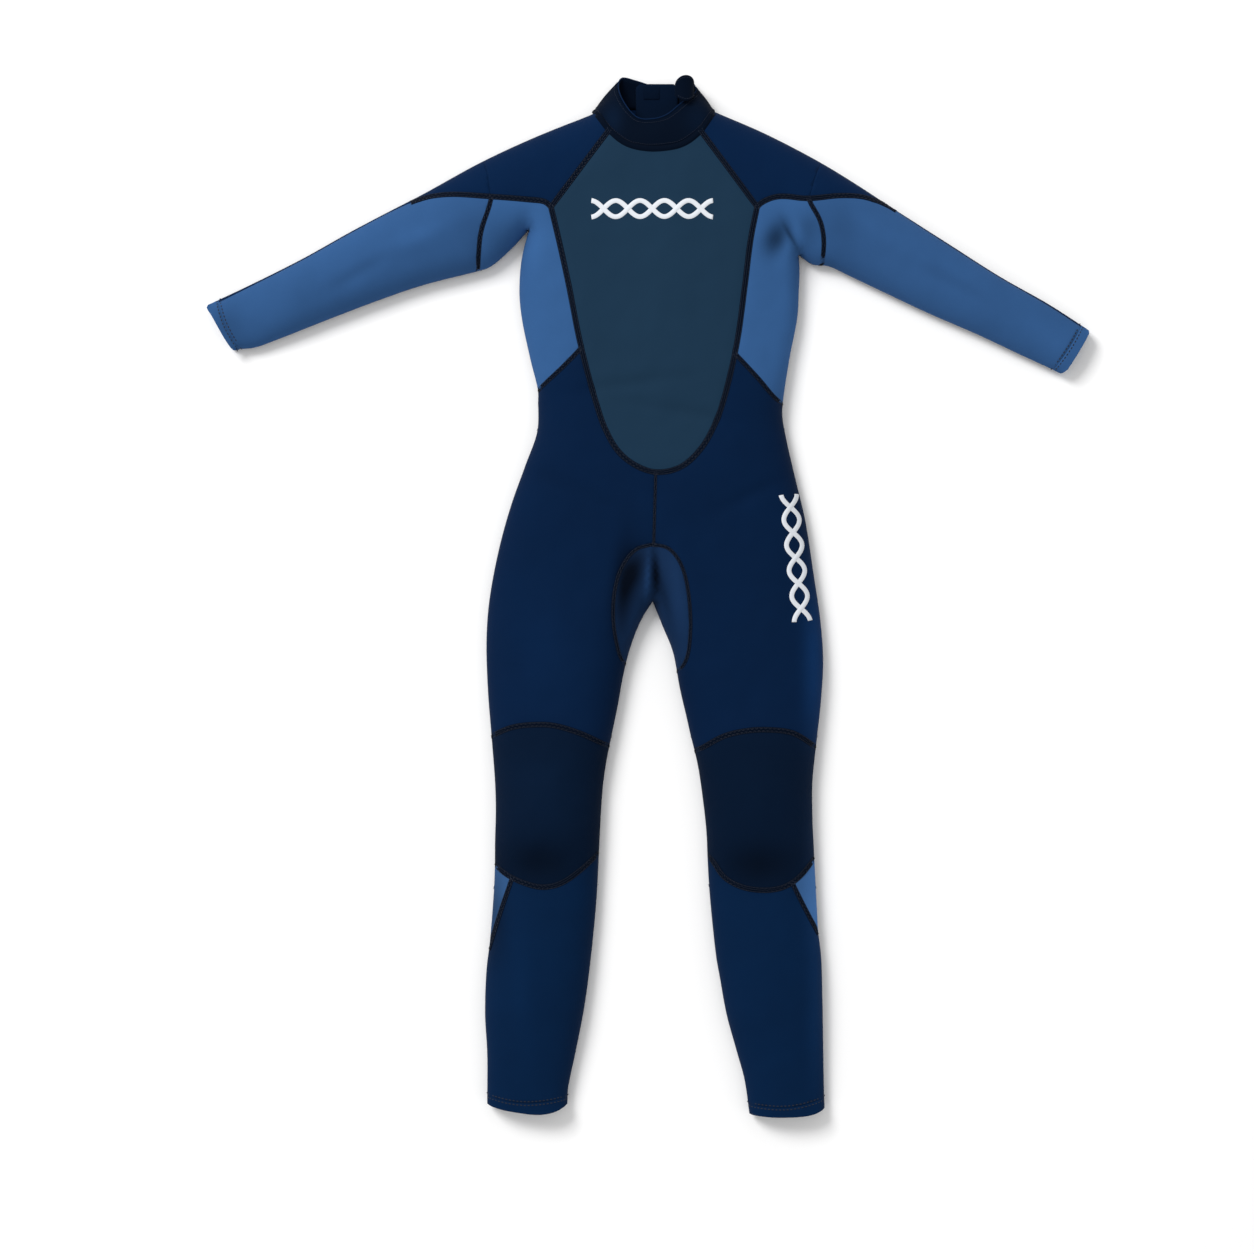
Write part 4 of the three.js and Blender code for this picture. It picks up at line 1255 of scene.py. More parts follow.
    def _join(self, meshes: dict[Layer, tuple], shut: np.ndarray) -> None:
        """Raises both layers, joins them where the edge is closed and works out the inner side.

        Args:
            meshes: what _layer gives for each layer.
            shut: for each point of the outline, whether the layers join there.
        """
        front, faces, front_region, front_number = meshes[Layer.FRONT]
        back, back_faces, back_region, back_number = meshes[Layer.BACK]
        rise, tone = self._front_height(front, faces, (front_number >= 0) & shut[front_number])
        drop = self._back_height(back, shut)
        number_of = {int(n): i for i, n in enumerate(front_number) if n >= 0 and shut[n]}
        moved = np.array([number_of.get(int(n), -1) for n in back_number])
        fresh = np.flatnonzero(moved < 0)
        moved[fresh] = len(front) + np.arange(len(fresh))
        self.points = np.vstack([np.column_stack([front, rise]), np.column_stack([back[fresh], drop[fresh]])])
        # The front layer carries painted shade and highlights; the back layer's own points have none.
        self.tone = np.concatenate([tone, np.ones(len(fresh))])
        self.triangles = np.vstack([faces, moved[back_faces][:, ::-1]])
        self.region = np.concatenate([front_region, back_region + len(faces)])
        self.layer = np.repeat([1, -1], [len(faces), len(back_faces)])
        corner = self.points[self.triangles]
        facing = np.cross(corner[:, 1] - corner[:, 0], corner[:, 2] - corner[:, 0])
        normals = np.zeros_like(self.points)
        for k in range(3):
            np.add.at(normals, self.triangles[:, k], facing)
        self.inner = self.points - unit(normals) * self.thickness
        self.tree = BVHTree.FromPolygons(self.points.tolist(), self.triangles.tolist())

    def _front_height(
        self, flat: np.ndarray, faces: np.ndarray, pinned: np.ndarray
    ) -> tuple[np.ndarray, np.ndarray]:
        """Raises the front layer and works out its painted shade and highlights.

        Args:
            flat: its points in plan.
            faces: its triangles.
            pinned: the points on the closed edges.

        Returns:
            Each point's height above the floor, and its colour level of painted shade and highlights.
        """
        full = swell(flat, faces, pinned, self.reach)
        away = flat - ORIGIN
        rise = self.fullness * full**self.roundness
        for centre, span, low in self.flat_ends:
            near = np.hypot(*(away - np.array(centre) * MM).T) / span
            rise *= low + (1 - low) * ease(near)
        # The colour level starts even; each entry adds its painted shade or painted highlight to it, and its
        # rise shapes the surface.
        tone = np.ones(len(flat))
        for entry in CREASES_AND_PAINTED_LIGHT:
            bump = bump_at(away, entry.centre, entry.radii, entry.turn)
            rise += entry.rise * bump * full**0.5
            tone += entry.tone * bump
        for across, up, seed, share in self.ripple_scales:
            ripple = np.array([noise.noise(Vector((x * across, y * up, seed))) for x, y in away])
            rise += self.ripple * share * ripple * full**0.5
        taped = [seam.line for seam in self.plan.seams() if seam.layer is Layer.FRONT and seam.taped]
        near = far_from(flat, np.vstack([resample(line, DOT_STEP) for line in taped]))
        rise -= self.seam_dip * np.exp(-((near / self.dip_spread) ** 2)) * np.minimum(full * 6, 1)
        return self.edge_height + np.maximum(rise, 0), np.maximum(tone, self.darkest)

    def _back_height(self, flat: np.ndarray, shut: np.ndarray) -> np.ndarray:
        """The back layer's height: flat on the floor, rounding up to the closed edges.

        Args:
            flat: its points in plan.
            shut: for each point of the outline, whether the layers join there.

        Returns:
            Each point's height above the floor.
        """
        both = shut & np.roll(shut, -1)
        edges = np.stack([self.outline, np.roll(self.outline, -1, axis=0)], axis=1)[both]
        dots = np.vstack([resample(edge, DOT_STEP) for edge in edges])
        share = np.clip(1 - far_from(flat, dots) / self.back_rounding, 0, 1)
        return self.edge_height - (self.edge_height - self.floor_gap) * np.sqrt(1 - share**2)

    def region_at(self, layer: Layer, place: Point) -> int:
        """The number of the region that covers a place, in millimetres from the crotch."""
        middles = self.points[self.triangles].mean(axis=1)[:, :2]
        away = np.hypot(*(middles - plan(place)[0]).T)
        away[self.layer != layer.value] = np.inf
        return int(self.region[int(np.argmin(away))])

    def surface(self, places: np.ndarray, layer: Layer) -> tuple[np.ndarray, np.ndarray]:
        """Finds the outer surface above or below places in plan.

        Args:
            places: rows of x, y.
            layer: which layer's surface.

        Returns:
            The surface points and their outward directions.
        """
        sign = layer.value
        far, steep, near_edge = 0.5, 0.05, {Layer.FRONT: 0.02, Layer.BACK: 0.003}[layer]
        hits, normals = [], []
        for x, y in places:
            hit = self.tree.ray_cast(Vector((x, y, far * sign)), Vector((0, 0, -sign)))
            if hit[0] is None or hit[1].z * sign < steep:
                hit = self.tree.find_nearest(Vector((x, y, near_edge)))
            hits.append(hit[0][:])
            normals.append(hit[1][:])
        return np.array(hits), np.array(normals)

    def ribbon(self, line: Path, layer: Layer, width: float, proud: float) -> Part:
        """Lays a thin closed strip on the surface along a line.

        Args:
            line: the line, in plan.
            layer: the layer that it lies on.
            width: the strip's width.
            proud: how far its middle stands out.

        Returns:
            Points, faces and flat places.
        """
        # Shares of the width and of how proud the strip is.
        section = ((-0.5, -0.5), (-0.42, 0.75), (0.0, 1.0), (0.42, 0.75), (0.5, -0.5))
        rings = []
        for share, lift in section:
            places, normals = self.surface(line + sideways(line) * share * width, layer)
            rings.append(smoothed(places) + smoothed(normals) * lift * proud)
        depth = smoothed(normals) * proud * 1.8
        stack = np.stack([*rings, rings[3] - depth, rings[1] - depth], axis=1)
        flat = cloth_grid(run_of(line), np.linspace(0, width, stack.shape[1]))
        return stack.reshape(-1, 3), sweep(stack), flat

    def threads(self, line: Path, layer: Layer, offset: float, lift: float) -> np.ndarray:
        """A stitch row's line on the surface, beside a seam's line."""
        places, normals = self.surface(line + sideways(line) * offset, layer)
        return smoothed(places) + smoothed(normals) * lift


def smoothed(rows: np.ndarray, rounds: int = 2) -> np.ndarray:
    """Evens out rows of points along a line, with its ends kept."""
    for _ in range(rounds):
        rows = rows.copy()
        rows[1:-1] = (rows[:-2] + 2 * rows[1:-1] + rows[2:]) / 4
    return rows


# ---- Panels ----


NAVY = Cloth("navy_jersey", (5, 30, 62))
BLUE = Cloth("blue_jersey", (47, 83, 129))
COLLAR = Cloth("collar_smooth_skin", (3, 13, 29), Weave.SMOOTH, sheen=0.01, relief=0.2)
GUARD = Cloth("guard_jersey", (5, 20, 41))
SIDE = Cloth("side_jersey", (50, 88, 136))
SLATE = Cloth("slate_smooth_skin", (26, 50, 71), Weave.SMOOTH, 0.7, sheen=0.01, relief=0.2, mottle=0.08)
HIP = Cloth("hip_jersey", (5, 28, 58))
KNEE = Cloth("knee_rubberised", (5, 22, 44), Weave.SMOOTH, roughness=0.75, sheen=0.01, relief=0.5)
SHIN = Cloth("shin_jersey", (5, 31, 62))
CALF = Cloth("calf_jersey", (52, 88, 134))
GUSSET = Cloth("gusset_jersey", (19, 42, 74), Weave.SMOOTH)
BAND = Cloth("seam_band", (3, 12, 27), Weave.SMOOTH, sheen=0.01, relief=0.25, mottle=0.05)
TAPE = Cloth("zip_tape_weave", (14, 18, 26), Weave.TAPE, sheen=0.01, relief=0.7)
LOOP = Cloth("loop_pile", (6, 20, 40), Weave.PILE, roughness=0.95, sheen=0.02, relief=1.0)
HOOK = Cloth("hook_pile", (10, 18, 30), Weave.PILE, roughness=0.6, sheen=0.01, relief=1.0)
PRINT = Cloth("white_print_ink", (220, 224, 230), Weave.SMOOTH, 0.5, sheen=0.0, relief=0.12, mottle=0.03)
EDGE = Cloth("rim_binding", (10, 32, 62), Weave.SMOOTH, sheen=0.01, relief=0.2)
THREAD = Hard("stitch_thread", (8, 22, 44), 0.75)
HEM_THREAD = Hard("hem_thread", (5, 15, 34), 0.75)
PLASTIC = Hard("zip_plastic", (16, 18, 23), 0.38)
METAL = Hard("zip_metal", (176, 178, 182), 0.34, metallic=1.0)
SEAM_STITCH: Stitch = (0.0032, 0.0026, 0.0007, 0.0006)
HEM_STITCH: Stitch = (0.0052, 0.0038, 0.0017, 0.0012)
ZIP_TOOTH: Stitch = (0.0022, 0.0013, 0.0024, 0.0019)


@dataclass(frozen=True)
class Panel:
    """One cut piece of neoprene: its node, where it lies, its finish and what it moves with."""

    node: str
    places: tuple[tuple[Layer, Point], ...]
    cloth: Cloth
    slot: str
    joint: str = ""
    rides: str = "suit_body"
    padded: float = 0.0


def mirrored_panels(side: Side) -> list[Panel]:
    """The panels that both halves of the suit have, for one side.

    Args:
        side: the wearer's side.

    Returns:
        The side's panels, each with a place inside it on every layer that it covers.
    """
    F, B, w, s = Layer.FRONT, Layer.BACK, side.word, side.value
    sleeve, leg = f"{w}_sleeve", f"{w}_lower_leg"
    navy, blue = "navy_neoprene", "blue_neoprene"
    wrist, ankle, calf, edge, arm = {
        Side.RIGHT: ((-602, 386), (-176, -706), (-223, -425), (-300, 572), 470),
        Side.LEFT: ((592, 361), (186, -711), (219, -418), (300, 565.5), 462),
    }[side]
    return [
        Panel(f"{w}_shoulder_panel", ((F, (s * 140, 600)), (B, (s * 150, 600))), NAVY, navy, sleeve),
        Panel(f"{w}_side_panel", ((F, (190 * s, 430)),), SIDE, blue),
        Panel(f"{w}_sleeve_front", ((F, (400 * s, arm)),), BLUE, blue, sleeve),
        Panel(f"{w}_sleeve_back", ((F, edge), (B, (400 * s, arm))), NAVY, navy, sleeve),
        Panel(f"{w}_wrist_hem", ((F, wrist), (B, wrist)), BLUE, blue, "", sleeve),
        Panel(f"{w}_hip_panel", ((F, (120 * s, 140)),), HIP, navy),
        Panel(f"{w}_knee_pad", ((F, (148 * s, -280)),), KNEE, "dark_neoprene", leg, padded=0.35),
        Panel(f"{w}_knee_back", ((B, (148 * s, -290)),), NAVY, navy, leg),
        Panel(f"{w}_calf_panel", ((F, calf),), CALF, blue, leg),
        Panel(f"{w}_shin_panel", ((F, (155 * s, -550)),), SHIN, navy, leg),
        Panel(f"{w}_calf_back", ((B, (155 * s, -550)),), NAVY, navy, leg),
        Panel(f"{w}_ankle_hem", ((F, ankle), (B, ankle)), SHIN, navy, "", leg),
        Panel(f"{w}_upper_back", ((B, (120 * s, 400)),), NAVY, navy),
        Panel(f"{w}_seat_panel", ((B, (120 * s, 140)),), NAVY, navy),
    ]


@dataclass
class FoldLines:
    """Each moving body's fold line, read from the joints; no piece is bent along it."""

    arm: tuple[float, float] = (0.0, 0.064)  # how far the fold reaches before and after the line; worked out, but nothing is bent to it
    leg: tuple[float, float] = (0.032, 0.032)

    def blend(self, piece: bpy.types.Object, body: str) -> None:
        """Works out a moving body's fold line and bakes a piece's place into its mesh; the piece is not bent.

        Args:
            piece: the piece that crosses the fold.
            body: the moving body.
        """
        joint = next(row for row in frame["joints"] if row["child"] == body)
        hinge, axis = Vector(joint["pos_m"]), Vector(joint["axis"]).normalized()
        outwards = Vector((0, 0, 1)).cross(axis)
        if outwards.dot(Vector((hinge.x, hinge.y, 0)) - Vector((*ORIGIN, 0))) < 0:
            outwards = -outwards
        before, after = self.leg if body.endswith("leg") else self.arm
        start, end = hinge - outwards * before, hinge + outwards * after
        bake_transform(piece)


@dataclass
class PanelSet:
    """Cuts the skin into the suit's separate panels."""

    skin: SuitSkin
    folds: FoldLines
    filled: float = 0.8  # the share of its own rectangle that a panel covers

    def panels(self) -> list[Panel]:
        """Every panel of the suit."""
        both = tuple((layer, (0, 40)) for layer in Layer)
        middle = [
            Panel("chest_panel", ((Layer.FRONT, (0, 400)),), SLATE, "slate_neoprene"),
            Panel("crotch_gusset", both, GUSSET, "dark_neoprene"),
        ]
        return middle + [panel for side in Side for panel in mirrored_panels(side)]

    def build(self) -> None:
        """Makes, dresses and declares each panel."""
        finishes: dict[str, bpy.types.Material] = {}
        for panel in self.panels():
            if panel.cloth.name not in finishes:
                finishes[panel.cloth.name] = panel.cloth.make()
            piece, area, span = self._cut(panel, finishes[panel.cloth.name])
            if panel.joint:
                self.folds.blend(piece, panel.joint)
            declare(piece, "" if panel.joint else panel.rides, panel.node)
            log.info("panel %s: %.0f cm2", panel.node, area * 1e4)

    def _cut(self, panel: Panel, finish: bpy.types.Material) -> tuple[bpy.types.Object, float, float]:
        """Makes one panel as a closed piece of the cloth's thickness.

        Args:
            panel: the panel.
            finish: its material.

        Returns:
            The piece, its area and its longest side.
        """
        skin = self.skin
        regions = [skin.region_at(layer, place) for layer, place in panel.places]
        own = skin.triangles[np.isin(skin.region, regions)]
        used, local = np.unique(own, return_inverse=True)
        faces = local.reshape(-1, 3)
        count = len(used)
        directed = {(a, b) for face in faces.tolist() for a, b in zip(face, face[1:] + face[:1])}
        rim = [(a, b) for a, b in directed if (b, a) not in directed]
        walls = [(b, a, a + count, b + count) for a, b in sorted(rim)]
        points = np.vstack([skin.points[used], skin.inner[used]])
        faces_all = faces.tolist() + (faces[:, ::-1] + count).tolist() + walls
        corner = skin.points[own]
        doubled = np.cross(corner[:, 1] - corner[:, 0], corner[:, 2] - corner[:, 0])
        area = np.linalg.norm(doubled, axis=1).sum() / 2
        flat = skin.points[used][:, :2]
        centred = flat - flat.mean(axis=0)
        axis = np.linalg.svd(centred, full_matrices=False)[2][0]
        # The painted shade and highlights, the same on the outer and inner faces.
        tone = np.tile(skin.tone[used], 2)
        name = panel.node + "_cloth"
        piece = new_object(name, points, faces_all, finish, np.vstack([flat, flat]), tone, len(walls))
        return piece, float(area), float(np.ptp(centred @ axis))


@dataclass
class SeamWork:
    """The glued and stitched bands over the seams, and the stitched hems."""

    skin: SuitSkin
    folds: FoldLines
    stitcher: Stitcher
    proud: float = 0.0007
    thread_lift: float = 0.0001
    row_share: float = 0.34  # of a band's width, from its middle to each row
    hem_rows: tuple[float, float] = (-0.0026, 0.0026)
    hem_lift: float = 0.0004
    zigzag_step: float = 0.0030
    join_reach: float = 0.014

    def build(self) -> None:
        """Makes a band and its stitches for each part that moves on its own, then the hems."""
        band, thread, hem_thread = BAND.make(), THREAD.make(), HEM_THREAD.make()
        for group, seams in self._groups().items():
            bands = [self.skin.ribbon(seam.line, seam.layer, seam.width, self.proud) for seam in seams]
            rows = [row for seam in seams for row in self._rows(seam)]
            self._move(joined(f"{group}_seam_bands", bands, band), group)
            self._move(self.stitcher.lay(f"{group}_seam_stitches", rows, thread, SEAM_STITCH), group)
            log.info("seams of %s: %d bands", group, len(bands))
        for word, line in self.skin.plan.hems().items():
            rows = [
                self.skin.threads(resample(part, LINE_STEP), layer, offset, self.hem_lift)
                for part in trimmed(line, self.skin.outline)
                for layer in Layer
                for offset in self.hem_rows
            ]
            piece = self.stitcher.lay(f"{word}_hem_stitches", rows, hem_thread, HEM_STITCH)
            side, limb = word.split("_")
            declare(piece, f"{side}_sleeve" if limb == "wrist" else f"{side}_lower_leg")
            log.info("hem stitches: %s", word)

    def _groups(self) -> dict[str, list[Seam]]:
        """The taped seams inside the outline, ended where they meet, by what they move with."""
        groups: dict[str, list[Seam]] = {}
        seams = [seam for seam in self.skin.plan.seams() if seam.taped]
        for seam in seams:
            others = [row.line for row in seams if row is not seam and row.layer is seam.layer]
            if seam.layer is Layer.FRONT:
                others.append(self.skin.plan.curve("neck"))
            for line in trimmed(seam.line, self.skin.outline):
                if len(line) > 3:
                    met = self._met(resample(line, LINE_STEP), others)
                    groups.setdefault(seam.group, []).append(replace(seam, line=met))
        return groups

    def _met(self, line: Path, others: Sequence[Path]) -> Path:
        """Ends a seam's line where it meets another seam close to either of its ends.

        Args:
            line: the seam's line.
            others: the lines of the seams that it may meet.

        Returns:
            The line without what would lie across the other seam.
        """
        low, high = 0.0, len(line) - 1.0
        near = self.join_reach / np.linalg.norm(np.diff(line, axis=0), axis=1).mean()
        for other in others:
            for place, _, _ in crossings(line, other, closed=False):
                if place < near:
                    low = max(low, place)
                elif place > len(line) - 1 - near:
                    high = min(high, place)
        return resample(part_of(line, low, high, 0.2), LINE_STEP)

    def _rows(self, seam: Seam) -> list[np.ndarray]:
        """The two stitch rows of a seam and the crossing thread between them."""
        reach, lift = seam.width * self.row_share, self.proud + self.thread_lift
        rows = [self.skin.threads(seam.line, seam.layer, offset, lift) for offset in (-reach, reach)]
        run = run_of(rows[0])
        turns = np.arange(0, run[-1], self.zigzag_step)
        ends = [np.stack([np.interp(turns, run, row[:, k]) for k in range(3)], axis=1) for row in rows]
        crossing = np.where((np.arange(len(turns)) % 2)[:, None] == 0, ends[0], ends[1])
        return [*rows, crossing]

    def _move(self, piece: bpy.types.Object, group: str) -> None:
        """Attaches a torso seam piece to the suit's body; a limb's seam piece has its place baked in and
        rides no body.
        """
        if group != "torso":
            side, limb = group.split("_")
            self.folds.blend(piece, f"{side}_sleeve" if limb == "arm" else f"{side}_lower_leg")
        declare(piece, "suit_body" if group == "torso" else "")


@dataclass
class PrintedMarks:
    """The two printed marks: pairs of crossing waves."""

    skin: SuitSkin
    stroke: float = 0.0072
    waves: int = 5
    swing: float = 0.0115
    step: float = 0.0025
    proud: float = 0.00035
    over: float = 1.4  # how much prouder the wave on top is

    def build(self) -> None:
        """Prints the chest and the thigh."""
        ink = PRINT.make()
        for node, start, end in (
            ("chest_print", (-86, 542), (82, 542)),
            ("thigh_print", (188, 148), (206, -28)),
        ):
            line = resample(plan(start, end), self.step)
            swing = self.swing * np.cos(math.pi * self.waves * np.linspace(0, 1, len(line))[:, None])
            strips = [
                self.skin.ribbon(line + sideways(line) * sign * swing, Layer.FRONT, self.stroke, proud)
                for sign, proud in ((-1, self.proud), (1, self.proud * self.over))
            ]
            declare(joined(node + "_ink", strips, ink), "suit_body", node)
            log.info("print: %s", node)


# ---- Collar ----


def spans(points: Sequence[Sequence[float]], steps: int = 8) -> np.ndarray:
    """Runs a smooth line through points, with the same number of steps between each two.

    Args:
        points: the points that it passes through.
        steps: the steps between two of them.

    Returns:
        The line's points.
    """
    rows = np.array(points, float)
    padded = np.vstack([2 * rows[0] - rows[1], rows, 2 * rows[-1] - rows[-2]])
    t = np.linspace(0, 1, steps, endpoint=False)[:, None]
    out = []
    for p0, p1, p2, p3 in zip(padded[:-3], padded[1:-2], padded[2:-1], padded[3:]):
        curve = 2 * p1 + (p2 - p0) * t + (2 * p0 - 5 * p1 + 4 * p2 - p3) * t**2
        out.append(0.5 * (curve + (3 * p1 - p0 - 3 * p2 + p3) * t**3))
    return np.vstack([*out, rows[-1:]])


@dataclass
class Collar:
    """The standing collar, its guard flap and its closure tab."""

    skin: SuitSkin
    stitcher: Stitcher
    thickness: float = 0.003
    guard_lap: float = 0.003
    tab_length: float = 0.060
    tab_lift: float = 0.002
    tab_drop: float = 0.008
    tab_dome: float = 0.0085
    tab_margin: float = 0.003
    tab_root: Point = (0.001, 0.0015)  # beyond its node's side and above its underside
    tab_narrow: float = 0.84  # its width at the root, as a share of the full width
    tab_widens: int = 24  # the steps along the curl that it widens over
    tab_drops: tuple[int, int] = (18, 14)  # the step that it starts to drop at, and over how many
    tab_rounds: int = 17  # the steps that its rounded end takes
    tab_roundness: float = 0.62
    hook_from: int = 22  # the step that the hook patch starts at
    hook_thickness: float = 0.0012
    hook_gap: float = 0.0001
    tab_step: int = 15
    tab_curl: Curve = (
        (0, 0, 0), (7, 0, 10), (10, 0, 21), (6, 0, 31), (-4, 0, 36.5), (-17, 0, 37),
    )
    # Painted highlights on the collar wall: centre and spread in mm, then how much lighter.
    light_patches: tuple[tuple[Point, Point, float], ...] = (
        ((-56, 668), (14, 22), 0.9), ((62, 668), (18, 26), 0.5),
    )
    rows: int = 9
    belly: float = 0.003
    height: float = 0.045
    neck_band: tuple[float, float] = (0.0085, 0.0009)
    seam_radius: float = 0.0016
    rim_radius: float = 0.0008
    stitch_lift: float = 0.0003
    thread_lift: float = 0.0002
    front_above: float = 0.02  # above this height the neck's seam lies on the front layer
    sunk: float = 0.001
    floor_gap: float = 0.001
    band_drop: float = 0.0012
    guard_rows: int = 120
    guard_corner: float = 0.010
    guard_end: float = 0.82  # its width at the ends, as a share of its width between them
    guard_sway: tuple[float, float] = (0.0006, 31)  # how far it waves sideways, and its turns along Y
    guard_lift: tuple[float, float] = (0.0008, 44)  # the same, up and down
    neck: Curve = (
        (-9, 688, 3), (-45, 688, 4), (-76, 687, 8), (-84, 682, 16), (-79, 676, 30), (-61, 652, 46),
        (-37, 633, 50), (-20, 628, 51), (-2, 626, 51), (20, 628, 51), (40, 633, 50), (65, 652, 46),
        (80, 675, 30), (84, 684, 16), (76, 688, 8), (55, 688, 4), (31, 688, 3),
    )
    rim: Curve = (
        (-9, 722, 8), (-25, 727, 9), (-43, 730, 14), (-49, 719, 24), (-46, 702, 36), (-36, 683, 45),
        (-25, 671, 48), (-15, 667, 49), (-4, 667, 49), (8, 669, 49), (21, 675, 48), (36, 688, 45),
        (50, 700, 36), (59, 710, 24), (56, 722, 14), (46, 729, 9), (31, 725, 8),
    )

    def build(self) -> None:
        """Makes every piece of the collar."""
        skin = COLLAR.make()
        self._wall(skin)
        self._guard(GUARD.make())
        self._tab(skin)

    def _loops(self) -> tuple[np.ndarray, np.ndarray]:
        """The neck seam and the rim as matching rows of points, in the finished frame."""
        low, high = spans(self.neck) * MM, spans(self.rim) * MM
        low[:, :2] += ORIGIN
        high[:, :2] += ORIGIN
        on_front = low[:, 2] > self.front_above
        low[on_front, 2] = self.skin.surface(low[on_front, :2], Layer.FRONT)[0][:, 2] - self.sunk
        low[:, 2] = smoothed(low[:, 2:3], 6)[:, 0]
        return low, high

    def _wall(self, finish: bpy.types.Material) -> None:
        """Makes the collar's wall, its rim binding, its seam band and its stitches.

        Args:
            finish: the wall's material.
        """
        low, high = self._loops()
        middle = (low.mean(axis=0) + high.mean(axis=0)) / 2
        share = np.linspace(0, 1, self.rows)
        outer = []
        for t in share:
            ring = low * (1 - t) + high * t
            outer.append(ring + unit((ring - middle) * (1, 0, 1)) * self.belly * math.sin(math.pi * t))
        grid = np.stack(outer)
        over = unit(np.cross(np.gradient(grid, axis=1), np.gradient(grid, axis=0)))
        if (over[:, :, 2] * (grid[:, :, 2] - self.front_above)).sum() < 0:
            over = -over
        inner = grid - over * self.thickness
        inner[:, :, 2] = np.maximum(inner[:, :, 2], self.floor_gap)
        # Each ring runs up the outside and down the inside, so the sweep closes the wall all round.
        section = np.concatenate([grid, inner[::-1]], axis=0).transpose(1, 0, 2)
        run = run_of(low)
        flat = cloth_grid(run, np.concatenate([share, share[::-1]]) * self.height)
        points = section.reshape(-1, 3)
        piece = joined("collar_wall", [(points, sweep(section), flat)], finish)
        # Paints highlights into the collar wall's colour level.
        level = np.ones(len(points))
        for centre, radii, gain in self.light_patches:
            level += gain * bump_at(points[:, :2] - ORIGIN, centre, radii)
        piece.data.attributes["tone"].data.foreach_set("value", level.astype(np.float32))
        declare(piece, "suit_body", "collar_band")
        rim = high + np.array([0, 0, self.stitch_lift])
        neck = max(trimmed(self.skin.plan.curve("neck"), self.skin.outline), key=len)[2:-2]
        width, proud = self.neck_band
        strips = [
            self._cord(low, self.seam_radius),
            self.skin.ribbon(neck - np.array([0, self.band_drop]), Layer.FRONT, width, proud),
        ]
        rows = [grid[row] + over[row] * self.stitch_lift for row in (1, -2)]
        for part in (
            joined("collar_rim_binding", [self._cord(rim, self.rim_radius)], EDGE.make()),
            joined("neck_seam_band", strips, BAND.make()),
            self.stitcher.lay("collar_stitches", rows, THREAD.make(), SEAM_STITCH),
        ):
            declare(part, "suit_body")
        log.info("collar wall, rim binding, neck seam and stitches")

    @staticmethod
    def _cord(line: np.ndarray, radius: float, around: int = 8) -> Part:
        """A round binding along a line."""
        ahead = unit(np.gradient(line, axis=0))
        aside = unit(np.cross(ahead, (0.0, 0.0, 1.0)))
        up = np.cross(aside, ahead)
        turn = np.linspace(0, 2 * math.pi, around, endpoint=False)
        across = aside[:, None] * np.cos(turn)[:, None] + up[:, None] * np.sin(turn)[:, None]
        ring = line[:, None] + radius * across
        return ring.reshape(-1, 3), sweep(ring), cloth_grid(run_of(line), turn * radius)

    def _guard(self, finish: bpy.types.Material) -> None:
        """Makes the flap that lies inside the zip and shows in the collar's opening.

        Args:
            finish: its material.
        """
        low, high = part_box("zip_guard_flap")
        y = np.linspace(low.y, high.y, self.guard_rows)
        edge = np.minimum(np.minimum(y - low.y, high.y - y) / self.guard_corner, 1)
        width = self.guard_end + (1 - self.guard_end) * np.sqrt(1 - (1 - edge) ** 2)
        half = (high.x - low.x + self.guard_lap) / 2 * width
        sway, lift = (size * np.sin(y * turns) for size, turns in (self.guard_sway, self.guard_lift))
        middle = (low.x + high.x) / 2 - self.guard_lap / 2 + sway
        under = low.z + self.guard_lift[0] + lift
        piece = slab("zip_guard_cloth", middle, y, half, under, high.z - low.z, finish)
        declare(piece, "suit_body", "zip_guard_flap")
        log.info("zip guard flap")

    def _tab(self, finish: bpy.types.Material) -> None:
        """Makes the curled closure tab with its hook patch, and the loop patch across the opening.

        Args:
            finish: the tab's material.
        """
        low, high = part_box("collar_tab")
        line = spans(self.tab_curl) * MM + (high.x + self.tab_root[0], 0, low.z + self.tab_root[1])
        tilt = np.gradient(line, axis=0)
        outer = unit(np.stack([tilt[:, 2], np.zeros(len(line)), -tilt[:, 0]], axis=1))
        step = np.arange(len(line))
        # The tab leaves the collar narrow, widens as it curls over the rim and ends rounded.
        widening = ease(step / self.tab_widens)
        end = np.minimum(1.0, (len(line) - 1 - step) / self.tab_rounds + 0.05)
        rounding = 1 - (1 - np.sqrt(1 - (1 - end) ** 2)) * self.tab_roundness
        wide = (self.tab_narrow + (1 - self.tab_narrow) * widening) * rounding
        middle, half = (low.y + high.y) / 2, (high.y - low.y) / 2 * wide
        # Seen from above the lobe is a dome: its upper corners fall away on both sides of the curl.
        across = 2 * (line[:, 0] - line[:, 0].min()) / np.ptp(line[:, 0]) - 1
        dome = self.tab_dome * (1 - np.sqrt(1 - 0.98 * across**2)) * ease(step / 10)
        top = middle + half + self.tab_lift * widening - dome
        first, over = self.tab_drops
        foot = middle - half - self.tab_drop * ease((step - first) / over) * rounding

        def layer(start: int, stop: int, lift: float, thick: float, inset: float) -> Part:
            """Makes one layer of the tab.

            Args:
                start: the step along the curl that it starts at.
                stop: the step that it ends before.
                lift: how far its face is from the tab's outer face.
                thick: its thickness.
                inset: how far its edges are inside the tab's.

            Returns:
                Its points, faces and flat places.
            """
            rows = []
            for i in range(start, stop):
                x, _, z = line[i] + outer[i] * lift
                ys = np.linspace(foot[i] + inset, top[i] - inset, self.tab_step)
                upper = np.stack(np.broadcast_arrays(x, ys, z), axis=1)
                rows.append(np.vstack([upper, upper[::-1] - outer[i] * thick]))
            stack = np.stack(rows)
            run = np.linspace(0, self.tab_length, len(stack))
            return stack.reshape(-1, 3), sweep(stack), cloth_grid(run, stack[0, :, 1])

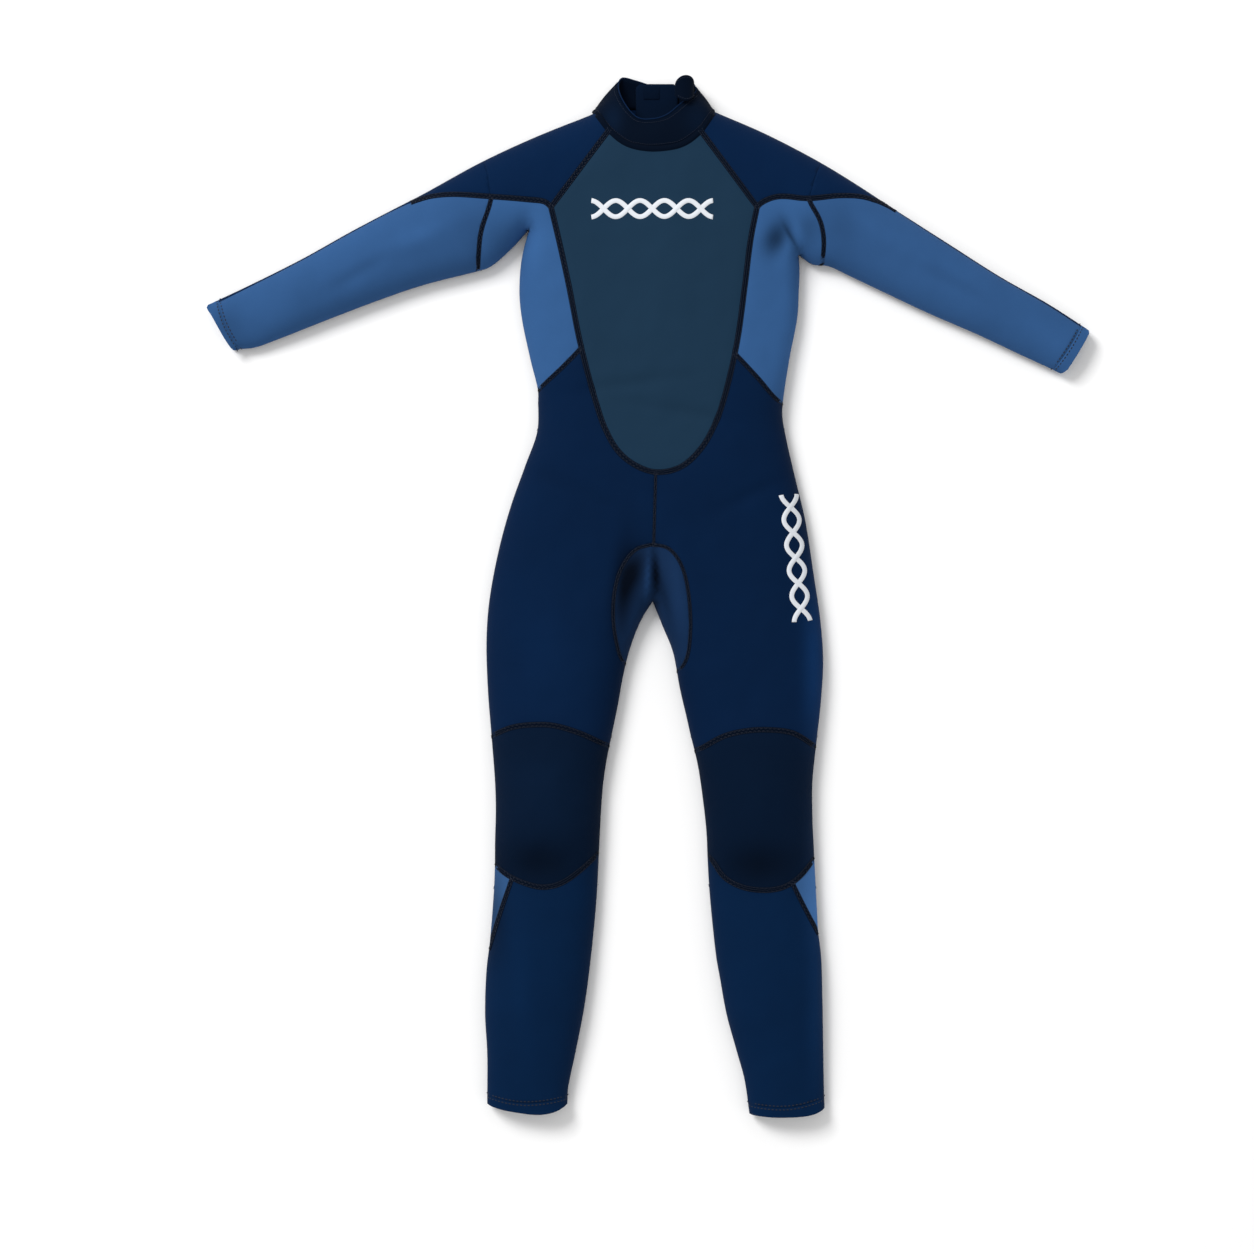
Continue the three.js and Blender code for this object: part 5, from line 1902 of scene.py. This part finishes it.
        tab = joined("collar_tab_cloth", [layer(0, len(line), 0.0, self.thickness, 0.0)], finish)
        under = -self.thickness - self.hook_gap
        patch = layer(self.hook_from, len(line) - 2, under, self.hook_thickness, self.tab_margin)
        hook = joined("collar_tab_hook_patch", [patch], HOOK.make())
        raised = line + outer * self.thread_lift
        edges = (foot + self.tab_margin, top - self.tab_margin)
        rows = [np.column_stack([raised[:, 0], edge, raised[:, 2]])[3:-3] for edge in edges]
        stitches = self.stitcher.lay("collar_tab_stitches", rows, THREAD.make(), SEAM_STITCH)
        declare(stitches, "collar_tab")
        declare(tab, "collar_tab", "collar_tab")
        declare(hook, "collar_tab", "hook_patch")
        loop = polished("loop_patch", "collar_loop_patch", 0.0003, LOOP.make())
        declare(loop, "suit_body", "loop_patch")
        log.info("collar tab, hook patch and loop patch")


# ---- Back zip ----


def slab(
    name: str,
    middle: np.ndarray | float,
    y: np.ndarray,
    half: np.ndarray | float,
    low: np.ndarray | float,
    thick: float,
    finish: bpy.types.Material,
) -> bpy.types.Object:
    """Makes a long soft strip along Y with rounded edges.

    Args:
        name: the piece's name.
        middle: its middle line's X, at each Y or all along.
        y: the places along it.
        half: half its width.
        low: its underside's height.
        thick: its thickness.
        finish: its material.

    Returns:
        The strip.
    """
    under = [(-1, 0.5), (-0.97, 0.1), (-0.9, 0), (-0.5, 0), (0, 0), (0.5, 0), (0.9, 0), (0.97, 0.1)]
    section = under + [(-s, 1 - t) for s, t in under]
    rows = np.broadcast_arrays(middle, y, half, low)
    rings = np.array([[(m + h * s, at, z + thick * t) for s, t in section] for m, at, h, z in zip(*rows)])
    return joined(name, [(rings.reshape(-1, 3), sweep(rings), rings[:, :, :2].reshape(-1, 2))], finish)


@dataclass
class BackZip:
    """The long zip down the back: tapes, teeth, stops, slider and pull."""

    stitcher: Stitcher
    tape_rows: int = 140
    first_tooth: tuple[float, float] = (0.25, 0.75)  # share of the spacing before it, on each side's row

    def build(self) -> None:
        """Makes the zip's pieces from the boxes of their nodes."""
        weave, plastic, metal = TAPE.make(), PLASTIC.make(), METAL.make()
        for side, offset in zip(Side, self.first_tooth):
            node = f"{side.word}_zip_tape"
            low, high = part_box(node)
            y = np.linspace(low.y, high.y, self.tape_rows)
            middle, half = (low.x + high.x) / 2, (high.x - low.x) / 2
            tape = slab(f"{node}_cloth", middle, y, half, low.z, high.z - low.z, weave)
            declare(tape, "suit_body", node)
            low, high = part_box(f"{side.word}_zip_teeth")
            x, z = (low.x + high.x) / 2, (low.z + high.z) / 2
            line = np.array([(x, low.y + ZIP_TOOTH[0] * offset, z), (x, high.y, z)])
            teeth = self.stitcher.lay(f"{side.word}_zip_tooth_row", [line], plastic, ZIP_TOOTH, tooth=True)
            declare(teeth, "suit_body", f"{side.word}_zip_teeth")
        for node, body, bevel in (
            ("zip_bottom_stop", "suit_body", 0.0004), ("zip_top_stop", "suit_body", 0.0004),
            ("zip_slider", "zip_slider", 0.0002), ("zip_pull", "zip_pull", 0.00025),
        ):
            declare(polished(node, node + "_cast", bevel, metal), body, node)
        log.info("back zip")


def main() -> None:
    logging.basicConfig(level=logging.INFO, format="%(name)s: %(message)s")
    Studio().build()
    skin = SuitSkin().build()
    folds, stitcher = FoldLines(), Stitcher()
    PanelSet(skin, folds).build()
    SeamWork(skin, folds, stitcher).build()
    PrintedMarks(skin).build()
    Collar(skin, stitcher).build()
    BackZip(stitcher).build()


if __name__ == "__main__":
    main()
